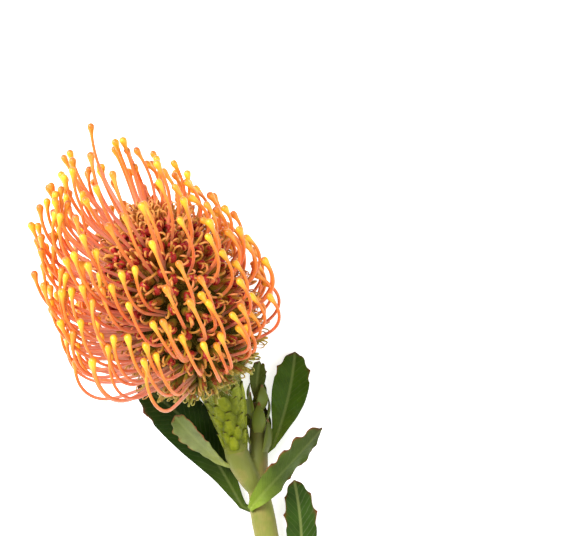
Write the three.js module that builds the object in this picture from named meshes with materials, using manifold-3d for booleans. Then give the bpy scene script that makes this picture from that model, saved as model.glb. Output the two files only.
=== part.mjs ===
// A cut pincushion protea (Leucospermum) lying on a table: one flower head on its scaly stalk,
// the leafy stem that the stalk branches from, and eight leaves. Millimetres, +Z up, table at Z = 0.
// The stem runs along +Y towards the head. The head rests on its lowest pins and is tilted up.
import * as THREE from "three";
import { mergeVertices } from "three/addons/utils/BufferGeometryUtils.js";
import Module from "manifold-3d";

const wasm = await Module();
wasm.setup();

const { degToRad, clamp, smoothstep } = THREE.MathUtils;

// Driving dimensions of the head. Each floret sends out one pin, its style, and the split covers
// of the florets curl back over the core.
const PINS = 112;
const COVERS = 150;
const GOLDEN_ANGLE = Math.PI * (3 - Math.sqrt(5));
const HEAD_BASE = new THREE.Vector3(0, 0, 21.5); // where the stalk meets the head
const HEAD_LEAN = degToRad(29); // to the left of the stem
const HEAD_TILT = degToRad(30); // up from the table
const HEAD_BEND = degToRad(8); // how much the head's own axis turns back to the right
const HEAD_BEND_LENGTH = 80;
const RECEPTACLE_BOTTOM = 6; // the woody cone inside the core, that the pins grow from
const RECEPTACLE_TOP = 54;
const RECEPTACLE_RADIUS = 7.5;
const PIN_LENGTH = 52;
const PIN_LENGTH_SPREAD = 6;
const PIN_LENGTH_TO_RIGHT = -0.14; // pins on the right are shorter by this share
const PIN_RADIUS = 0.95;
const PIN_SIDES = 3;
const PIN_TIP_ANGLE = [-32, -12]; // degrees past the head's axis, in the lowest and highest whorl
const KNOB_LENGTH = 5.5; // the pollen presenter at the pin's end
const KNOB_RADIUS = 1.7;
const CORE_PROFILE = [
  [0, 0],
  [9, 0],
  [14.5, 5],
  [18, 15],
  [19.5, 30],
  [19, 46],
  [15.5, 58],
  [8.5, 65.5],
  [0, 68],
];
const CORE_SIDES = 14;
const COVER_REACH = 6.5; // how far the curled covers stand out of the core

// Driving dimensions of the stalk, the stem and the leaves.
const JOINT_GAP = 0.3;
const UP = new THREE.Vector3(0, 0, 1);
const STEM_SIDES = 12;
const STEM_STEPS = 26;
const STEM_RADII = [5.1, 5.0, 4.9, 4.9, 4.9, 4.9, 4.9, 4.9, 4.2, 3.7, 3.0];
const STALK_STEPS = 9;
const STALK_RADII = [4.6, 5.1, 6.4, 7.5, 8.2, 9.3];
const BRACTS = 44;
const LEAF_THICKNESS = 0.9;
const LEAF_STEPS = 18;
const LEAF_COLUMNS = 4;
const TABLE_CLEARANCE = 0.05;
const TABLE_SOFTNESS = 1.2; // how gently a pin or a blade bends up off the table
const PART_ORIGIN = new THREE.Vector3(1, -38.4, 0); // the middle of the part's footprint
const MERGE_TOLERANCE = 1e-3;
const SLIVER = 0.03; // edges shorter than this are closed up where pieces cross
const THIN = 0.015; // a triangle lower than this has its long side turned

// A repeatable random share from 0 to 1 for item i, stream k.
function share(i, k) {
  const v = Math.sin(i * 12.9898 + k * 78.233) * 43758.5453;
  return v - Math.floor(v);
}

// The same, from -0.5 to 0.5.
function jitter(i, k) {
  return share(i, k) - 0.5;
}

function lerp(a, b, t) {
  return a + (b - a) * t;
}

// Reads a list of evenly spaced values at t from 0 to 1.
function sample(values, t) {
  const at = clamp(t, 0, 1) * (values.length - 1);
  const i = Math.min(Math.floor(at), values.length - 2);
  return lerp(values[i], values[i + 1], at - i);
}

// A closed geometry as a solid that can be joined with others.
function solidOf(geometry) {
  const bare = geometry.clone();
  bare.deleteAttribute("normal");
  bare.deleteAttribute("uv");
  const merged = mergeVertices(bare, MERGE_TOLERANCE);
  return new wasm.Manifold(
    new wasm.Mesh({
      numProp: 3,
      vertProperties: new Float32Array(merged.attributes.position.array),
      triVerts: new Uint32Array(merged.index.array),
    }),
  );
}

// A surface as corner points and the triangles that meet at each, for mending where pieces cross.
function netOf(position, index) {
  const corners = [];
  for (let i = 0; i < position.count; i++)
    corners.push(new THREE.Vector3().fromBufferAttribute(position, i));
  const facesAt = corners.map(() => new Set());
  for (let i = 0; i < index.length; i += 3) {
    const face = Array.from(index.slice(i, i + 3));
    face.forEach((v) => facesAt[v].add(face));
  }
  return { corners, facesAt };
}

function neighbours(net, v) {
  return new Set([...net.facesAt[v]].flat().filter((w) => w !== v));
}

// The height of a triangle over its longest side.
function lowestHeight(net, face) {
  const [p, q, r] = face.map((v) => net.corners[v]);
  const longest = Math.max(p.distanceTo(q), q.distanceTo(r), r.distanceTo(p));
  return q.clone().sub(p).cross(r.clone().sub(p)).length() / longest;
}

function turnsOver(net, face, from, to) {
  const normal = (corners) => {
    const [p, q, r] = corners.map((v) => net.corners[v]);
    return q.clone().sub(p).cross(r.clone().sub(p)).normalize();
  };
  return normal(face).dot(normal(face.map((v) => (v === from ? to : v)))) < 0.2;
}

// Brings all that meets at one corner to another, unless that pinches the surface or turns a
// face over.
function bring(net, from, to) {
  const near = neighbours(net, to);
  const common = [...neighbours(net, from)].filter((v) => near.has(v));
  const lost = [...net.facesAt[from]].filter((face) => face.includes(to));
  const kept = [...net.facesAt[from]].filter((face) => !face.includes(to));
  const spoils = (face) => lowestHeight(net, face) > THIN && turnsOver(net, face, from, to);
  if (common.length !== 2 || kept.some(spoils)) return false;
  lost.forEach((face) => face.forEach((v) => net.facesAt[v].delete(face)));
  for (const face of kept) {
    face[face.indexOf(from)] = to;
    net.facesAt[to].add(face);
  }
  net.facesAt[from].clear();
  return true;
}

// Turns the long side of a thin triangle, so that it and its neighbour share the other diagonal.
function turnLongSide(net, face) {
  const sides = face.map((v, k) => net.corners[v].distanceTo(net.corners[face[(k + 1) % 3]]));
  const k = sides.indexOf(Math.max(...sides));
  const [a, b, tip] = [face[k], face[(k + 1) % 3], face[(k + 2) % 3]];
  const other = [...net.facesAt[a]].find((f) => f !== face && f.includes(b));
  const far = other.find((v) => v !== a && v !== b);
  if (neighbours(net, tip).has(far)) return;
  const pair = [[a, far, tip], [far, b, tip]];
  if (Math.min(...pair.map((f) => lowestHeight(net, f))) <= lowestHeight(net, face)) return;
  for (const old of [face, other]) old.forEach((v) => net.facesAt[v].delete(old));
  for (const made of pair) made.forEach((v) => net.facesAt[v].add(made));
}

function closeSlivers(geometry) {
  const net = netOf(geometry.attributes.position, geometry.index.array);
  for (let v = 0; v < net.corners.length; v++) {
    const isClose = (w) => net.corners[v].distanceTo(net.corners[w]) < SLIVER;
    while ([...neighbours(net, v)].some((w) => isClose(w) && bring(net, w, v)));
  }
  const thin = [...new Set(net.facesAt.flatMap((faces) => [...faces]))];
  for (const face of thin.filter((f) => lowestHeight(net, f) < THIN))
    if (net.facesAt[face[0]].has(face)) turnLongSide(net, face);
  geometry.setIndex([...new Set(net.facesAt.flatMap((faces) => [...faces]))].flat());
}

// The largest body of a solid, as a geometry: sealed pockets and scraps are left out.
function geometryOf(solid) {
  const bodies = solid.simplify(SLIVER).decompose();
  bodies.sort((a, b) => b.volume() - a.volume());
  const mesh = bodies[0].getMesh();
  const geometry = new THREE.BufferGeometry();
  geometry.setAttribute("position", new THREE.BufferAttribute(mesh.vertProperties, 3));
  geometry.setIndex(new THREE.BufferAttribute(mesh.triVerts, 1));
  return geometry;
}

// Joins a list of geometries into one.
function fuse(geometries) {
  let solids = geometries.map(solidOf);
  while (solids.length > 1) {
    const joined = [];
    for (let i = 0; i < solids.length; i += 2)
      joined.push(i + 1 < solids.length ? solids[i].add(solids[i + 1]) : solids[i]);
    solids = joined;
  }
  return geometryOf(solids[0]);
}

// A closed skin over rings of points, each ring with the same number of points.
// One point in the place of a ring closes that end to a tip, and a ring gets a flat cap.
function skin(rings) {
  const points = [];
  const faces = [];
  const starts = rings.map((ring) => {
    points.push(...ring);
    return points.length - ring.length;
  });
  for (let k = 0; k + 1 < rings.length; k++) {
    const [a, b] = [rings[k].length, rings[k + 1].length];
    const sides = Math.max(a, b);
    for (let j = 0; j < sides; j++) {
      const next = (j + 1) % sides;
      const [p, q] = [starts[k] + (a > 1 ? j : 0), starts[k] + (a > 1 ? next : 0)];
      const [r, s] = [starts[k + 1] + (b > 1 ? next : 0), starts[k + 1] + (b > 1 ? j : 0)];
      if (a > 1) faces.push(p, q, s);
      if (b > 1) faces.push(q, r, s);
    }
  }
  const cap = (start, count, flip) => {
    for (let j = 1; j + 1 < count; j++)
      faces.push(start, start + (flip ? j + 1 : j), start + (flip ? j : j + 1));
  };
  cap(starts[0], rings[0].length, true);
  cap(starts[rings.length - 1], rings[rings.length - 1].length, false);
  const geometry = new THREE.BufferGeometry().setFromPoints(points);
  geometry.setIndex(faces);
  return geometry;
}

// A round section of the given radius about a centre line point.
function ring(centre, side, normal, radius, sides, turn = 0) {
  return Array.from({ length: sides }, (_, j) => {
    const angle = turn + (j / sides) * 2 * Math.PI;
    return centre
      .clone()
      .addScaledVector(side, radius * Math.cos(angle))
      .addScaledVector(normal, radius * Math.sin(angle));
  });
}

// A tube whose radius changes along a curve, with flat ends and a flat side facing down.
function tube(curve, steps, radii, sides) {
  const rings = [];
  for (let k = 0; k <= steps; k++) {
    const along = curve.getTangentAt(k / steps);
    const side = new THREE.Vector3().crossVectors(along, UP).normalize();
    const normal = new THREE.Vector3().crossVectors(side, along);
    const radius = sample(radii, k / steps);
    rings.push(ring(curve.getPointAt(k / steps), normal, side, radius, sides, Math.PI / sides));
  }
  return skin(rings);
}

// Lifts a height smoothly so that it never falls below the lowest one allowed.
function liftAbove(height, lowest) {
  const over = (height - lowest) / TABLE_SOFTNESS;
  return lowest + TABLE_SOFTNESS * (over > 30 ? over : Math.log1p(Math.exp(over)));
}

// The head's own frame: Z along its axis at the base, X to the right across the stem.
const headAxis = new THREE.Vector3(
  -Math.sin(HEAD_LEAN) * Math.cos(HEAD_TILT),
  Math.cos(HEAD_LEAN) * Math.cos(HEAD_TILT),
  Math.sin(HEAD_TILT),
);
const headX = new THREE.Vector3(Math.cos(HEAD_LEAN), Math.sin(HEAD_LEAN), 0);
const headY = new THREE.Vector3().crossVectors(headAxis, headX);
const headFrame = new THREE.Matrix4().makeBasis(headX, headY, headAxis).setPosition(HEAD_BASE);
const headFrameInverse = headFrame.clone().invert();

// Bends the straight head so that its axis turns towards its X as it rises.
function bendHead(p) {
  const curvature = HEAD_BEND / HEAD_BEND_LENGTH;
  const z = clamp(p.z, 0, HEAD_BEND_LENGTH);
  const angle = curvature * z;
  const beyond = p.z - z;
  return new THREE.Vector3(
    (1 - Math.cos(angle)) / curvature + beyond * Math.sin(angle) + p.x * Math.cos(angle),
    p.y,
    Math.sin(angle) / curvature + beyond * Math.cos(angle) - p.x * Math.sin(angle),
  );
}

// Bends a pin's centre line that would pass through the table so that it lies along it.
function restOnTable(p, radius) {
  const world = p.clone().applyMatrix4(headFrame);
  world.z = liftAbove(world.z, radius);
  return world.applyMatrix4(headFrameInverse);
}

// Keeps a mesh's own corners at or above the table.
function trimAtTable(geometry) {
  const position = geometry.attributes.position;
  const p = new THREE.Vector3();
  for (let i = 0; i < position.count; i++) {
    p.fromBufferAttribute(position, i).applyMatrix4(headFrame);
    p.z = Math.max(p.z, TABLE_CLEARANCE);
    p.applyMatrix4(headFrameInverse);
    position.setXYZ(i, p.x, p.y, p.z);
  }
  return geometry;
}

// Pin i of the spiral: u runs from 0 in the lowest whorl to 1 at the top of the head. It starts
// at an angle to the head's axis that narrows from 77 degrees to 14, and ends leaning inwards.
function pinOf(i) {
  const u = (i + 0.5) / PINS;
  const azimuth = i * GOLDEN_ANGLE + jitter(i, 1) * 0.16;
  const spread = (PIN_LENGTH + jitter(i, 4) * PIN_LENGTH_SPREAD) / PIN_LENGTH;
  return {
    azimuth,
    height: lerp(RECEPTACLE_BOTTOM, RECEPTACLE_TOP, u),
    radius: RECEPTACLE_RADIUS * (1 - 0.8 * u * u),
    start: Math.acos(0.23 + 0.5 * u + 0.24 * u ** 3) + degToRad(jitter(i, 2) * 9),
    end: degToRad(lerp(...PIN_TIP_ANGLE, u) + jitter(i, 3) * 24),
    length: PIN_LENGTH * spread * (1.03 + PIN_LENGTH_TO_RIGHT * Math.cos(azimuth)),
    sway: 0.2 * jitter(i, 5),
  };
}

// The pin's centre line. It leaves the receptacle straight and turns up and in over its outer half.
const PIN_STRAIGHT_SHARE = 0.5;
const PIN_FINE_STEPS = 30;
function pinPath(pin) {
  const path = [];
  let r = pin.radius;
  let z = pin.height;
  const step = pin.length / PIN_FINE_STEPS;
  for (let k = 0; k <= PIN_FINE_STEPS; k++) {
    const angle = pin.azimuth + pin.sway * Math.sin((2.2 * k) / PIN_FINE_STEPS);
    const straight = new THREE.Vector3(r * Math.cos(angle), r * Math.sin(angle), z);
    path.push(restOnTable(bendHead(straight), PIN_RADIUS));
    const turn = smoothstep((k + 0.5) / PIN_FINE_STEPS, PIN_STRAIGHT_SHARE, 1.04);
    const theta = lerp(pin.start, pin.end, turn);
    r += Math.sin(theta) * step;
    z += Math.cos(theta) * step;
  }
  return path;
}

// Where the sections of a pin sit along it below the knob, and how thick it is there. The first
// lies well inside the core.
const PIN_SECTIONS = [
  [0.2, 1],
  [0.52, 1],
  [0.66, 0.95],
  [0.76, 0.9],
  [0.85, 0.85],
  [0.93, 0.8],
  [1, 0.85],
];

function pinSkin(pin) {
  const path = new THREE.CatmullRomCurve3(pinPath(pin));
  const acrossStart = new THREE.Vector3(-Math.sin(pin.azimuth), Math.cos(pin.azimuth), 0);
  const knobShare = KNOB_LENGTH / pin.length;
  const stations = PIN_SECTIONS.map(([t, thick]) => [t * (1 - knobShare), PIN_RADIUS * thick]);
  stations.push([1 - 0.45 * knobShare, KNOB_RADIUS]);
  const rings = stations.map(([t, radius]) => {
    const along = path.getTangentAt(t);
    const side = acrossStart.clone().addScaledVector(along, -acrossStart.dot(along)).normalize();
    const normal = new THREE.Vector3().crossVectors(along, side);
    return ring(path.getPointAt(t), side, normal, radius, PIN_SIDES, Math.PI / 2);
  });
  rings.push([path.getPointAt(1)]);
  return skin(rings);
}

// The point on the core's surface at a share v of its profile, and the ways out, up and across.
const coreRadii = CORE_PROFILE.map(([r]) => r);
const coreHeights = CORE_PROFILE.map(([, z]) => z);
function coreSurface(v, azimuth) {
  const [r, z] = [sample(coreRadii, v), sample(coreHeights, v)];
  const slope = Math.atan2(r - sample(coreRadii, v + 0.02), sample(coreHeights, v + 0.02) - z);
  const out = new THREE.Vector3(Math.cos(azimuth), Math.sin(azimuth), 0);
  return {
    point: out.clone().multiplyScalar(r).setZ(z),
    outward: out.clone().multiplyScalar(Math.cos(slope)).setZ(Math.sin(slope)),
    upward: out.clone().multiplyScalar(-Math.sin(slope)).setZ(Math.cos(slope)),
    across: new THREE.Vector3(-Math.sin(azimuth), Math.cos(azimuth), 0),
  };
}

// A split cover: a tapering ribbon that stands out of the core and curls over at its end.
const COVER_ROOT = 2.5; // how far it is sunk into the core
const COVER_CURL = 4.4; // how far its end falls back
function coverSkin(i) {
  const u = (i + 0.5) / COVERS;
  const at = coreSurface(lerp(0.2, 0.97, u ** 0.9), i * GOLDEN_ANGLE + 0.3);
  const lean = 0.15 + 0.3 * share(i, 6);
  const side = jitter(i, 7) * 2.4;
  const reach = COVER_REACH * (0.85 + 0.35 * share(i, 8)) * Math.min(1, 0.45 + 3 * u);
  const centre = (out, rise, shift) =>
    at.point
      .clone()
      .addScaledVector(at.outward, out)
      .addScaledVector(at.upward, rise + out * lean)
      .addScaledVector(at.across, shift);
  const section = (c, halfWidth, thick) => [
    bendHead(c.clone().addScaledVector(at.across, halfWidth)),
    bendHead(c.clone().addScaledVector(at.upward, thick)),
    bendHead(c.clone().addScaledVector(at.across, -halfWidth)),
  ];
  return skin([
    section(centre(-COVER_ROOT, 0, 0), 2.7, 2.2),
    section(centre(reach * 0.62, 0, side * 0.3), 2.3, 1.9),
    section(centre(reach, -0.9, side * 0.7), 1.7, 1.5),
    [bendHead(centre(reach * 0.86, -COVER_CURL, side))],
  ]);
}

function flowerHead() {
  const profile = CORE_PROFILE.map(([r, z]) => new THREE.Vector2(r, z));
  const core = new THREE.LatheGeometry(profile, CORE_SIDES);
  core.rotateX(Math.PI / 2);
  const position = core.attributes.position;
  const p = new THREE.Vector3();
  for (let i = 0; i < position.count; i++) {
    p.fromBufferAttribute(position, i);
    p.copy(bendHead(p));
    position.setXYZ(i, p.x, p.y, p.z);
  }
  const pieces = [core];
  for (let i = 0; i < PINS; i++) pieces.push(trimAtTable(pinSkin(pinOf(i))));
  for (let i = 0; i < COVERS; i++) pieces.push(coverSkin(i));
  return fuse(pieces);
}

// The stalk's centre line, from its branching on the stem to the head's base.
const stalkFoot = new THREE.Vector3(8.2, -30.5, 9.6);
const stalkFootDirection = new THREE.Vector3(-0.19, 0.95, 0.26).normalize();
const stalkTop = HEAD_BASE.clone().addScaledVector(headAxis, -JOINT_GAP);
const STALK_HANDLE = 11;
const stalkPath = new THREE.CubicBezierCurve3(
  stalkFoot,
  stalkFoot.clone().addScaledVector(stalkFootDirection, STALK_HANDLE),
  stalkTop.clone().addScaledVector(headAxis, -STALK_HANDLE),
  stalkTop,
);

// One bract: a pointed scale that hugs the stalk and lifts a little at its tip. Bracts nearer the
// head are larger.
const stalkLength = stalkPath.getLength();
const BRACT_HALF_TURN = 0.36; // radians round the stalk
function bract(i) {
  const t = lerp(0.12, 0.83, (i + 0.5) / BRACTS);
  const angle = i * GOLDEN_ANGLE;
  const grow = lerp(0.8, 1.25, t);
  const at = (along, turn, lift) => {
    const s = clamp(t + (along * grow) / stalkLength, 0, 1);
    const axis = stalkPath.getTangentAt(s);
    const side = new THREE.Vector3(1, 0, 0).addScaledVector(axis, -axis.x).normalize();
    const normal = new THREE.Vector3().crossVectors(axis, side);
    const radius = sample(STALK_RADII, s) + lift;
    return stalkPath
      .getPointAt(s)
      .addScaledVector(side, radius * Math.cos(angle + turn))
      .addScaledVector(normal, radius * Math.sin(angle + turn));
  };
  const section = (along, sunk, ridge) => [
    at(along, -BRACT_HALF_TURN, -sunk),
    at(along, BRACT_HALF_TURN, -sunk),
    at(along, 0, ridge),
  ];
  return skin([section(-1.5, 1.4, 0.1), section(1.2, 1.2, grow), [at(5.2, 0, 0.9 * grow)]]);
}

function stalk() {
  const pieces = [tube(stalkPath, STALK_STEPS, STALK_RADII, STEM_SIDES)];
  for (let i = 0; i < BRACTS; i++) pieces.push(bract(i));
  return fuse(pieces);
}

// The stem lies flat on the table, passes the stalk's foot and ends in a short leafy shoot.
const STEM_ROUTE = [
  [34, -168],
  [32, -140],
  [29, -110],
  [24.5, -82],
  [19.6, -60],
  [16.8, -42],
  [16.8, -25],
  [16, -9],
];
const flatShare = Math.cos(Math.PI / STEM_SIDES);
const stemPath = new THREE.CatmullRomCurve3(
  STEM_ROUTE.map(([x, y], i) => {
    const radius = sample(STEM_RADII, i / (STEM_ROUTE.length - 1));
    return new THREE.Vector3(x, y, radius * flatShare + TABLE_CLEARANCE);
  }),
);

// Where the stalk grows out of the stem's side.
function collar() {
  const end = stalkFoot.clone().addScaledVector(stalkFootDirection, -JOINT_GAP);
  const start = new THREE.Vector3(16.4, -44, 5.4);
  const path = new THREE.CubicBezierCurve3(
    start,
    start.clone().add(new THREE.Vector3(-2.2, 3.4, 1)),
    end.clone().addScaledVector(stalkFootDirection, -5),
    end,
  );
  return tube(path, 5, [4, 4.5, STALK_RADII[0]], STEM_SIDES);
}

function stem() {
  return fuse([tube(stemPath, STEM_STEPS, STEM_RADII, STEM_SIDES), collar()]);
}

// Leaves. Each has a centre line, a half width and its shares of it from base to tip, the way its
// upper face looks at its base and tip, how far it folds up along the midrib, how much it waves,
// and the share of its length where the teeth begin.
const BROAD = [0.25, 0.3, 0.5, 0.75, 0.92, 1, 0.98, 0.86, 0.5];
const NARROW = [0.3, 0.42, 0.6, 0.78, 0.9, 1, 1, 0.9, 0.55];
const LEAVES = [
  {
    name: "leaf_broad_left",
    path: [[10.6, -51, 3.2], [2, -38, 2.2], [-6, -17, 1.6], [-31, -3, 1.4]],
    half: 10.5,
    widths: BROAD,
    faceAtBase: [-0.3, -0.2, 1],
    faceAtTip: [0, 0, 1],
    fold: 0.05,
    wave: 0.3,
    teethFrom: 0.8,
  },
  {
    name: "leaf_small_left",
    path: [[3.9, -34.5, 10.2], [-1, -31.5, 12], [-8.5, -24.5, 14.5], [-15.5, -16, 16]],
    half: 5.6,
    widths: NARROW,
    faceAtBase: [-0.5, -0.6, 0.7],
    faceAtTip: [-0.65, -0.55, 0.5],
    fold: 0.2,
    wave: 0.4,
    teethFrom: 0.45,
  },
  {
    name: "leaf_front",
    path: [[13.9, -52, 8.4], [16, -48, 14.5], [28, -36.5, 15.5], [41.5, -21, 15]],
    half: 7.2,
    widths: NARROW,
    faceAtBase: [-0.4, 0.1, 1],
    faceAtTip: [0.45, -0.5, 0.8],
    fold: 0.3,
    wave: 0.9,
    teethFrom: 0.42,
  },
  {
    name: "leaf_right",
    path: [[22.4, -27, 3.6], [26, -19, 3.2], [30, -6, 3.4], [31.5, 10, 2.4]],
    half: 7.5,
    widths: BROAD,
    faceAtBase: [0.2, 0, 1],
    faceAtTip: [0.1, 0, 1],
    fold: 0.15,
    wave: 0.5,
    teethFrom: 0.75,
  },
  {
    name: "leaf_shoot",
    path: [[16, -8.4, 3], [16, -5, 4], [16, 0, 4.6], [17, 6.5, 4.4]],
    half: 3.4,
    widths: NARROW,
    faceAtBase: [0.1, 0, 1],
    faceAtTip: [0.2, 0.1, 1],
    fold: 0.25,
    wave: 0.2,
    teethFrom: 0.7,
  },
  {
    name: "leaf_low_right",
    path: [[32.2, -88, 3.2], [34.5, -76, 3.4], [35.5, -62, 3.2], [31.5, -42, 2.4]],
    half: 6.5,
    widths: BROAD,
    faceAtBase: [0.1, 0, 1],
    faceAtTip: [0.25, 0.1, 1],
    fold: 0.2,
    wave: 0.6,
    teethFrom: 0.62,
  },
  {
    name: "leaf_low_left",
    path: [[20.7, -98, 5.4], [11, -94, 7.5], [-2, -86, 8], [-17, -73, 4.6]],
    half: 9.5,
    widths: NARROW,
    faceAtBase: [-0.2, -0.2, 1],
    faceAtTip: [-0.3, 0.2, 1],
    fold: 0.25,
    wave: 0.8,
    teethFrom: 0.6,
  },
  {
    name: "leaf_lowest_right",
    path: [[36.35, -119, 5.2], [45, -114, 8], [56, -103, 9], [68, -88, 4.6]],
    half: 9,
    widths: NARROW,
    faceAtBase: [0.2, -0.2, 1],
    faceAtTip: [0.3, 0.2, 1],
    fold: 0.25,
    wave: 0.8,
    teethFrom: 0.6,
  },
];
const TOOTH_STEP = 3; // sections from one tooth to the next
const TOOTH_DEPTH = 0.11;
const TIP_TOOTH = 1; // how far the three teeth at the tip stand out

// Teeth point towards the tip: the edge widens to each tooth and steps in after it.
function toothAt(k, leaf) {
  const from = Math.round(leaf.teethFrom * LEAF_STEPS);
  if (k < from) return 1;
  const phase = (k - from) % TOOTH_STEP;
  return 1 + TOOTH_DEPTH * (phase / (TOOTH_STEP - 1) - 0.6);
}

function blade(leaf) {
  const curve = new THREE.CubicBezierCurve3(...leaf.path.map((p) => new THREE.Vector3(...p)));
  const faceStart = new THREE.Vector3(...leaf.faceAtBase).normalize();
  const faceEnd = new THREE.Vector3(...leaf.faceAtTip).normalize();
  const lowest = LEAF_THICKNESS / 2 + TABLE_CLEARANCE;
  const upper = [];
  const lower = [];
  for (let k = 0; k <= LEAF_STEPS; k++) {
    const t = k / LEAF_STEPS;
    const along = curve.getTangentAt(t);
    const face = faceStart.clone().lerp(faceEnd, t);
    const side = new THREE.Vector3().crossVectors(along, face).normalize();
    const normal = new THREE.Vector3().crossVectors(side, along);
    const half = leaf.half * sample(leaf.widths, t) * toothAt(k, leaf);
    for (let j = 0; j <= LEAF_COLUMNS; j++) {
      const v = (2 * j) / LEAF_COLUMNS - 1;
      const ripple = Math.sin(t * 9 + v) * Math.sin(Math.PI * t);
      const lift = leaf.fold * Math.abs(v) * half + leaf.wave * v * Math.abs(v) * ripple;
      const tooth = k === LEAF_STEPS ? (j % 2 === 0 ? TIP_TOOTH : -TIP_TOOTH / 2) : 0;
      const p = curve
        .getPointAt(t)
        .addScaledVector(side, v * half)
        .addScaledVector(normal, lift)
        .addScaledVector(along, tooth);
      p.z = liftAbove(p.z, lowest);
      upper.push(p.clone().addScaledVector(normal, LEAF_THICKNESS / 2));
      lower.push(p.clone().addScaledVector(normal, -LEAF_THICKNESS / 2));
    }
  }
  return plate(upper, lower, LEAF_STEPS, LEAF_COLUMNS);
}

// A closed plate between two grids of points, split into triangles alike on both faces.
function plate(upper, lower, steps, columns) {
  const row = columns + 1;
  const under = upper.length;
  const faces = [];
  for (let k = 0; k < steps; k++)
    for (let j = 0; j < columns; j++) {
      const [a, b, c, d] = [k * row + j, k * row + j + 1, (k + 1) * row + j + 1, (k + 1) * row + j];
      faces.push(a, b, c, a, c, d);
      faces.push(under + a, under + c, under + b, under + a, under + d, under + c);
    }
  const wall = (p, q) => faces.push(p, under + p, under + q, p, under + q, q);
  for (let j = 0; j < columns; j++) {
    wall(j, j + 1);
    wall(steps * row + j + 1, steps * row + j);
  }
  for (let k = 0; k < steps; k++) {
    wall((k + 1) * row, k * row);
    wall(k * row + columns, (k + 1) * row + columns);
  }
  const geometry = new THREE.BufferGeometry().setFromPoints([...upper, ...lower]);
  geometry.setIndex(faces);
  return geometry;
}

function material(color, roughness) {
  return new THREE.MeshStandardMaterial({ color, roughness, metalness: 0 });
}

const flower = new THREE.Group();
flower.name = "pincushion_protea";

function add(name, geometry, finish) {
  geometry.translate(-PART_ORIGIN.x, -PART_ORIGIN.y, -PART_ORIGIN.z);
  const clean = geometryOf(solidOf(geometry));
  closeSlivers(clean);
  clean.computeVertexNormals();
  const mesh = new THREE.Mesh(clean, finish);
  mesh.name = name;
  flower.add(mesh);
}

add("flower_head", flowerHead().applyMatrix4(headFrame), material(0xe8743a, 0.5));
add("stalk", stalk(), material(0x9aa52c, 0.6));
add("stem", stem(), material(0xa3ab62, 0.55));
const leafFinish = material(0x4f7a3a, 0.6);
for (const leaf of LEAVES) add(leaf.name, blade(leaf), leafFinish);

export default flower;
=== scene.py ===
# A cut pincushion protea, Leucospermum, laid on a pale table. It is put together as it grows: the
# woody stem, its leaves, the scaly stalk, the woody cone of the head, its florets, and the pins.
import math

import bpy
import numpy as np
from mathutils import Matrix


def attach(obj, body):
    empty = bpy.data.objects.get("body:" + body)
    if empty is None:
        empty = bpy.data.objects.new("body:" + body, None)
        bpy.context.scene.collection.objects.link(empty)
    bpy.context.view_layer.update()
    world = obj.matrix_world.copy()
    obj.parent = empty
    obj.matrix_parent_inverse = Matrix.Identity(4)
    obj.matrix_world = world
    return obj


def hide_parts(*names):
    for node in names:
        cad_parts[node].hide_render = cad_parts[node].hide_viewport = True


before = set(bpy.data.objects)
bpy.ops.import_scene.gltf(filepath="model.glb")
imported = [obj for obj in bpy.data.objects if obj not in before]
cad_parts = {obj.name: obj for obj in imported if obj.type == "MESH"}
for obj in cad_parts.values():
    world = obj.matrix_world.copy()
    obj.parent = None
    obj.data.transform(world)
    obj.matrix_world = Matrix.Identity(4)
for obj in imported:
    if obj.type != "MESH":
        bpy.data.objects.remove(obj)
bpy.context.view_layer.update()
scene = bpy.context.scene

# The set: a white covered light table, a soft box over each shoulder and the camera above. The
# table glows a little, as an opal sheet over lamps does, so the shadows under the pins are pale
# and the ground shows white between them.
MM = 0.001


def linear(colour):
    """An sRGB hex colour as the linear RGBA of a shader's socket."""
    channels = [int(colour[i : i + 2], 16) / 255 for i in (1, 3, 5)]
    return [c / 12.92 if c <= 0.04045 else ((c + 0.055) / 1.055) ** 2.4 for c in channels] + [1.0]


# The output that a wire takes from a node, where that isn't the node's first one. Every Mix node
# here mixes colours.
MAIN_OUTPUT = {"ShaderNodeAttribute": "Fac", "ShaderNodeTexCoord": "Object", "ShaderNodeMix": 2}


def node(tree, kind, values=None, wires=None, stops=None, **settings):
    """Adds a shader node with its options, its set sockets, its wired sockets and a ramp's stops.
    A hex colour is turned linear, a wire may start at a socket or at a node, and the one shader
    of a finish goes on to its surface."""
    made = tree.nodes.new("ShaderNode" + kind)
    if kind == "Mix":
        made.data_type = "RGBA"
    for name, value in settings.items():
        setattr(made, name, value)
    for socket, value in (values or {}).items():
        made.inputs[socket].default_value = linear(value) if isinstance(value, str) else value
    for socket, source in (wires or {}).items():
        if isinstance(source, bpy.types.Node):
            source = source.outputs[MAIN_OUTPUT.get(source.bl_idname, 0)]
        tree.links.new(source, made.inputs[socket])
    for k, (place, colour) in enumerate(stops or []):
        while len(made.color_ramp.elements) <= k:
            made.color_ramp.elements.new(1.0)
        made.color_ramp.elements[k].position = place
        made.color_ramp.elements[k].color = linear(colour)
    if kind == "BsdfPrincipled":
        node(tree, "OutputMaterial", wires={"Surface": made})
    return made


def new_finish(name):
    """An empty material and its node tree."""
    finish = bpy.data.materials.new(name)
    finish.use_nodes = True
    finish.node_tree.nodes.clear()
    return finish, finish.node_tree


# Opal acrylic sheet, cast: smooth and dull, with an even glow and a white that hardly varies.
opal_sheet, tree = new_finish("opal_acrylic_sheet")
mottle = node(tree, "TexNoise", {"Scale": 3.0, "Detail": 2.0})
tint = node(tree, "ValToRGB", wires={"Fac": mottle}, stops=[(0.3, "#F4F4F2"), (0.7, "#FAFAF8")])
node(
    tree, "BsdfPrincipled",
    {"Roughness": 0.6, "IOR": 1.49, "Emission Color": "#FFFFFF", "Emission Strength": 0.7},
    {"Base Color": tint},
)

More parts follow.
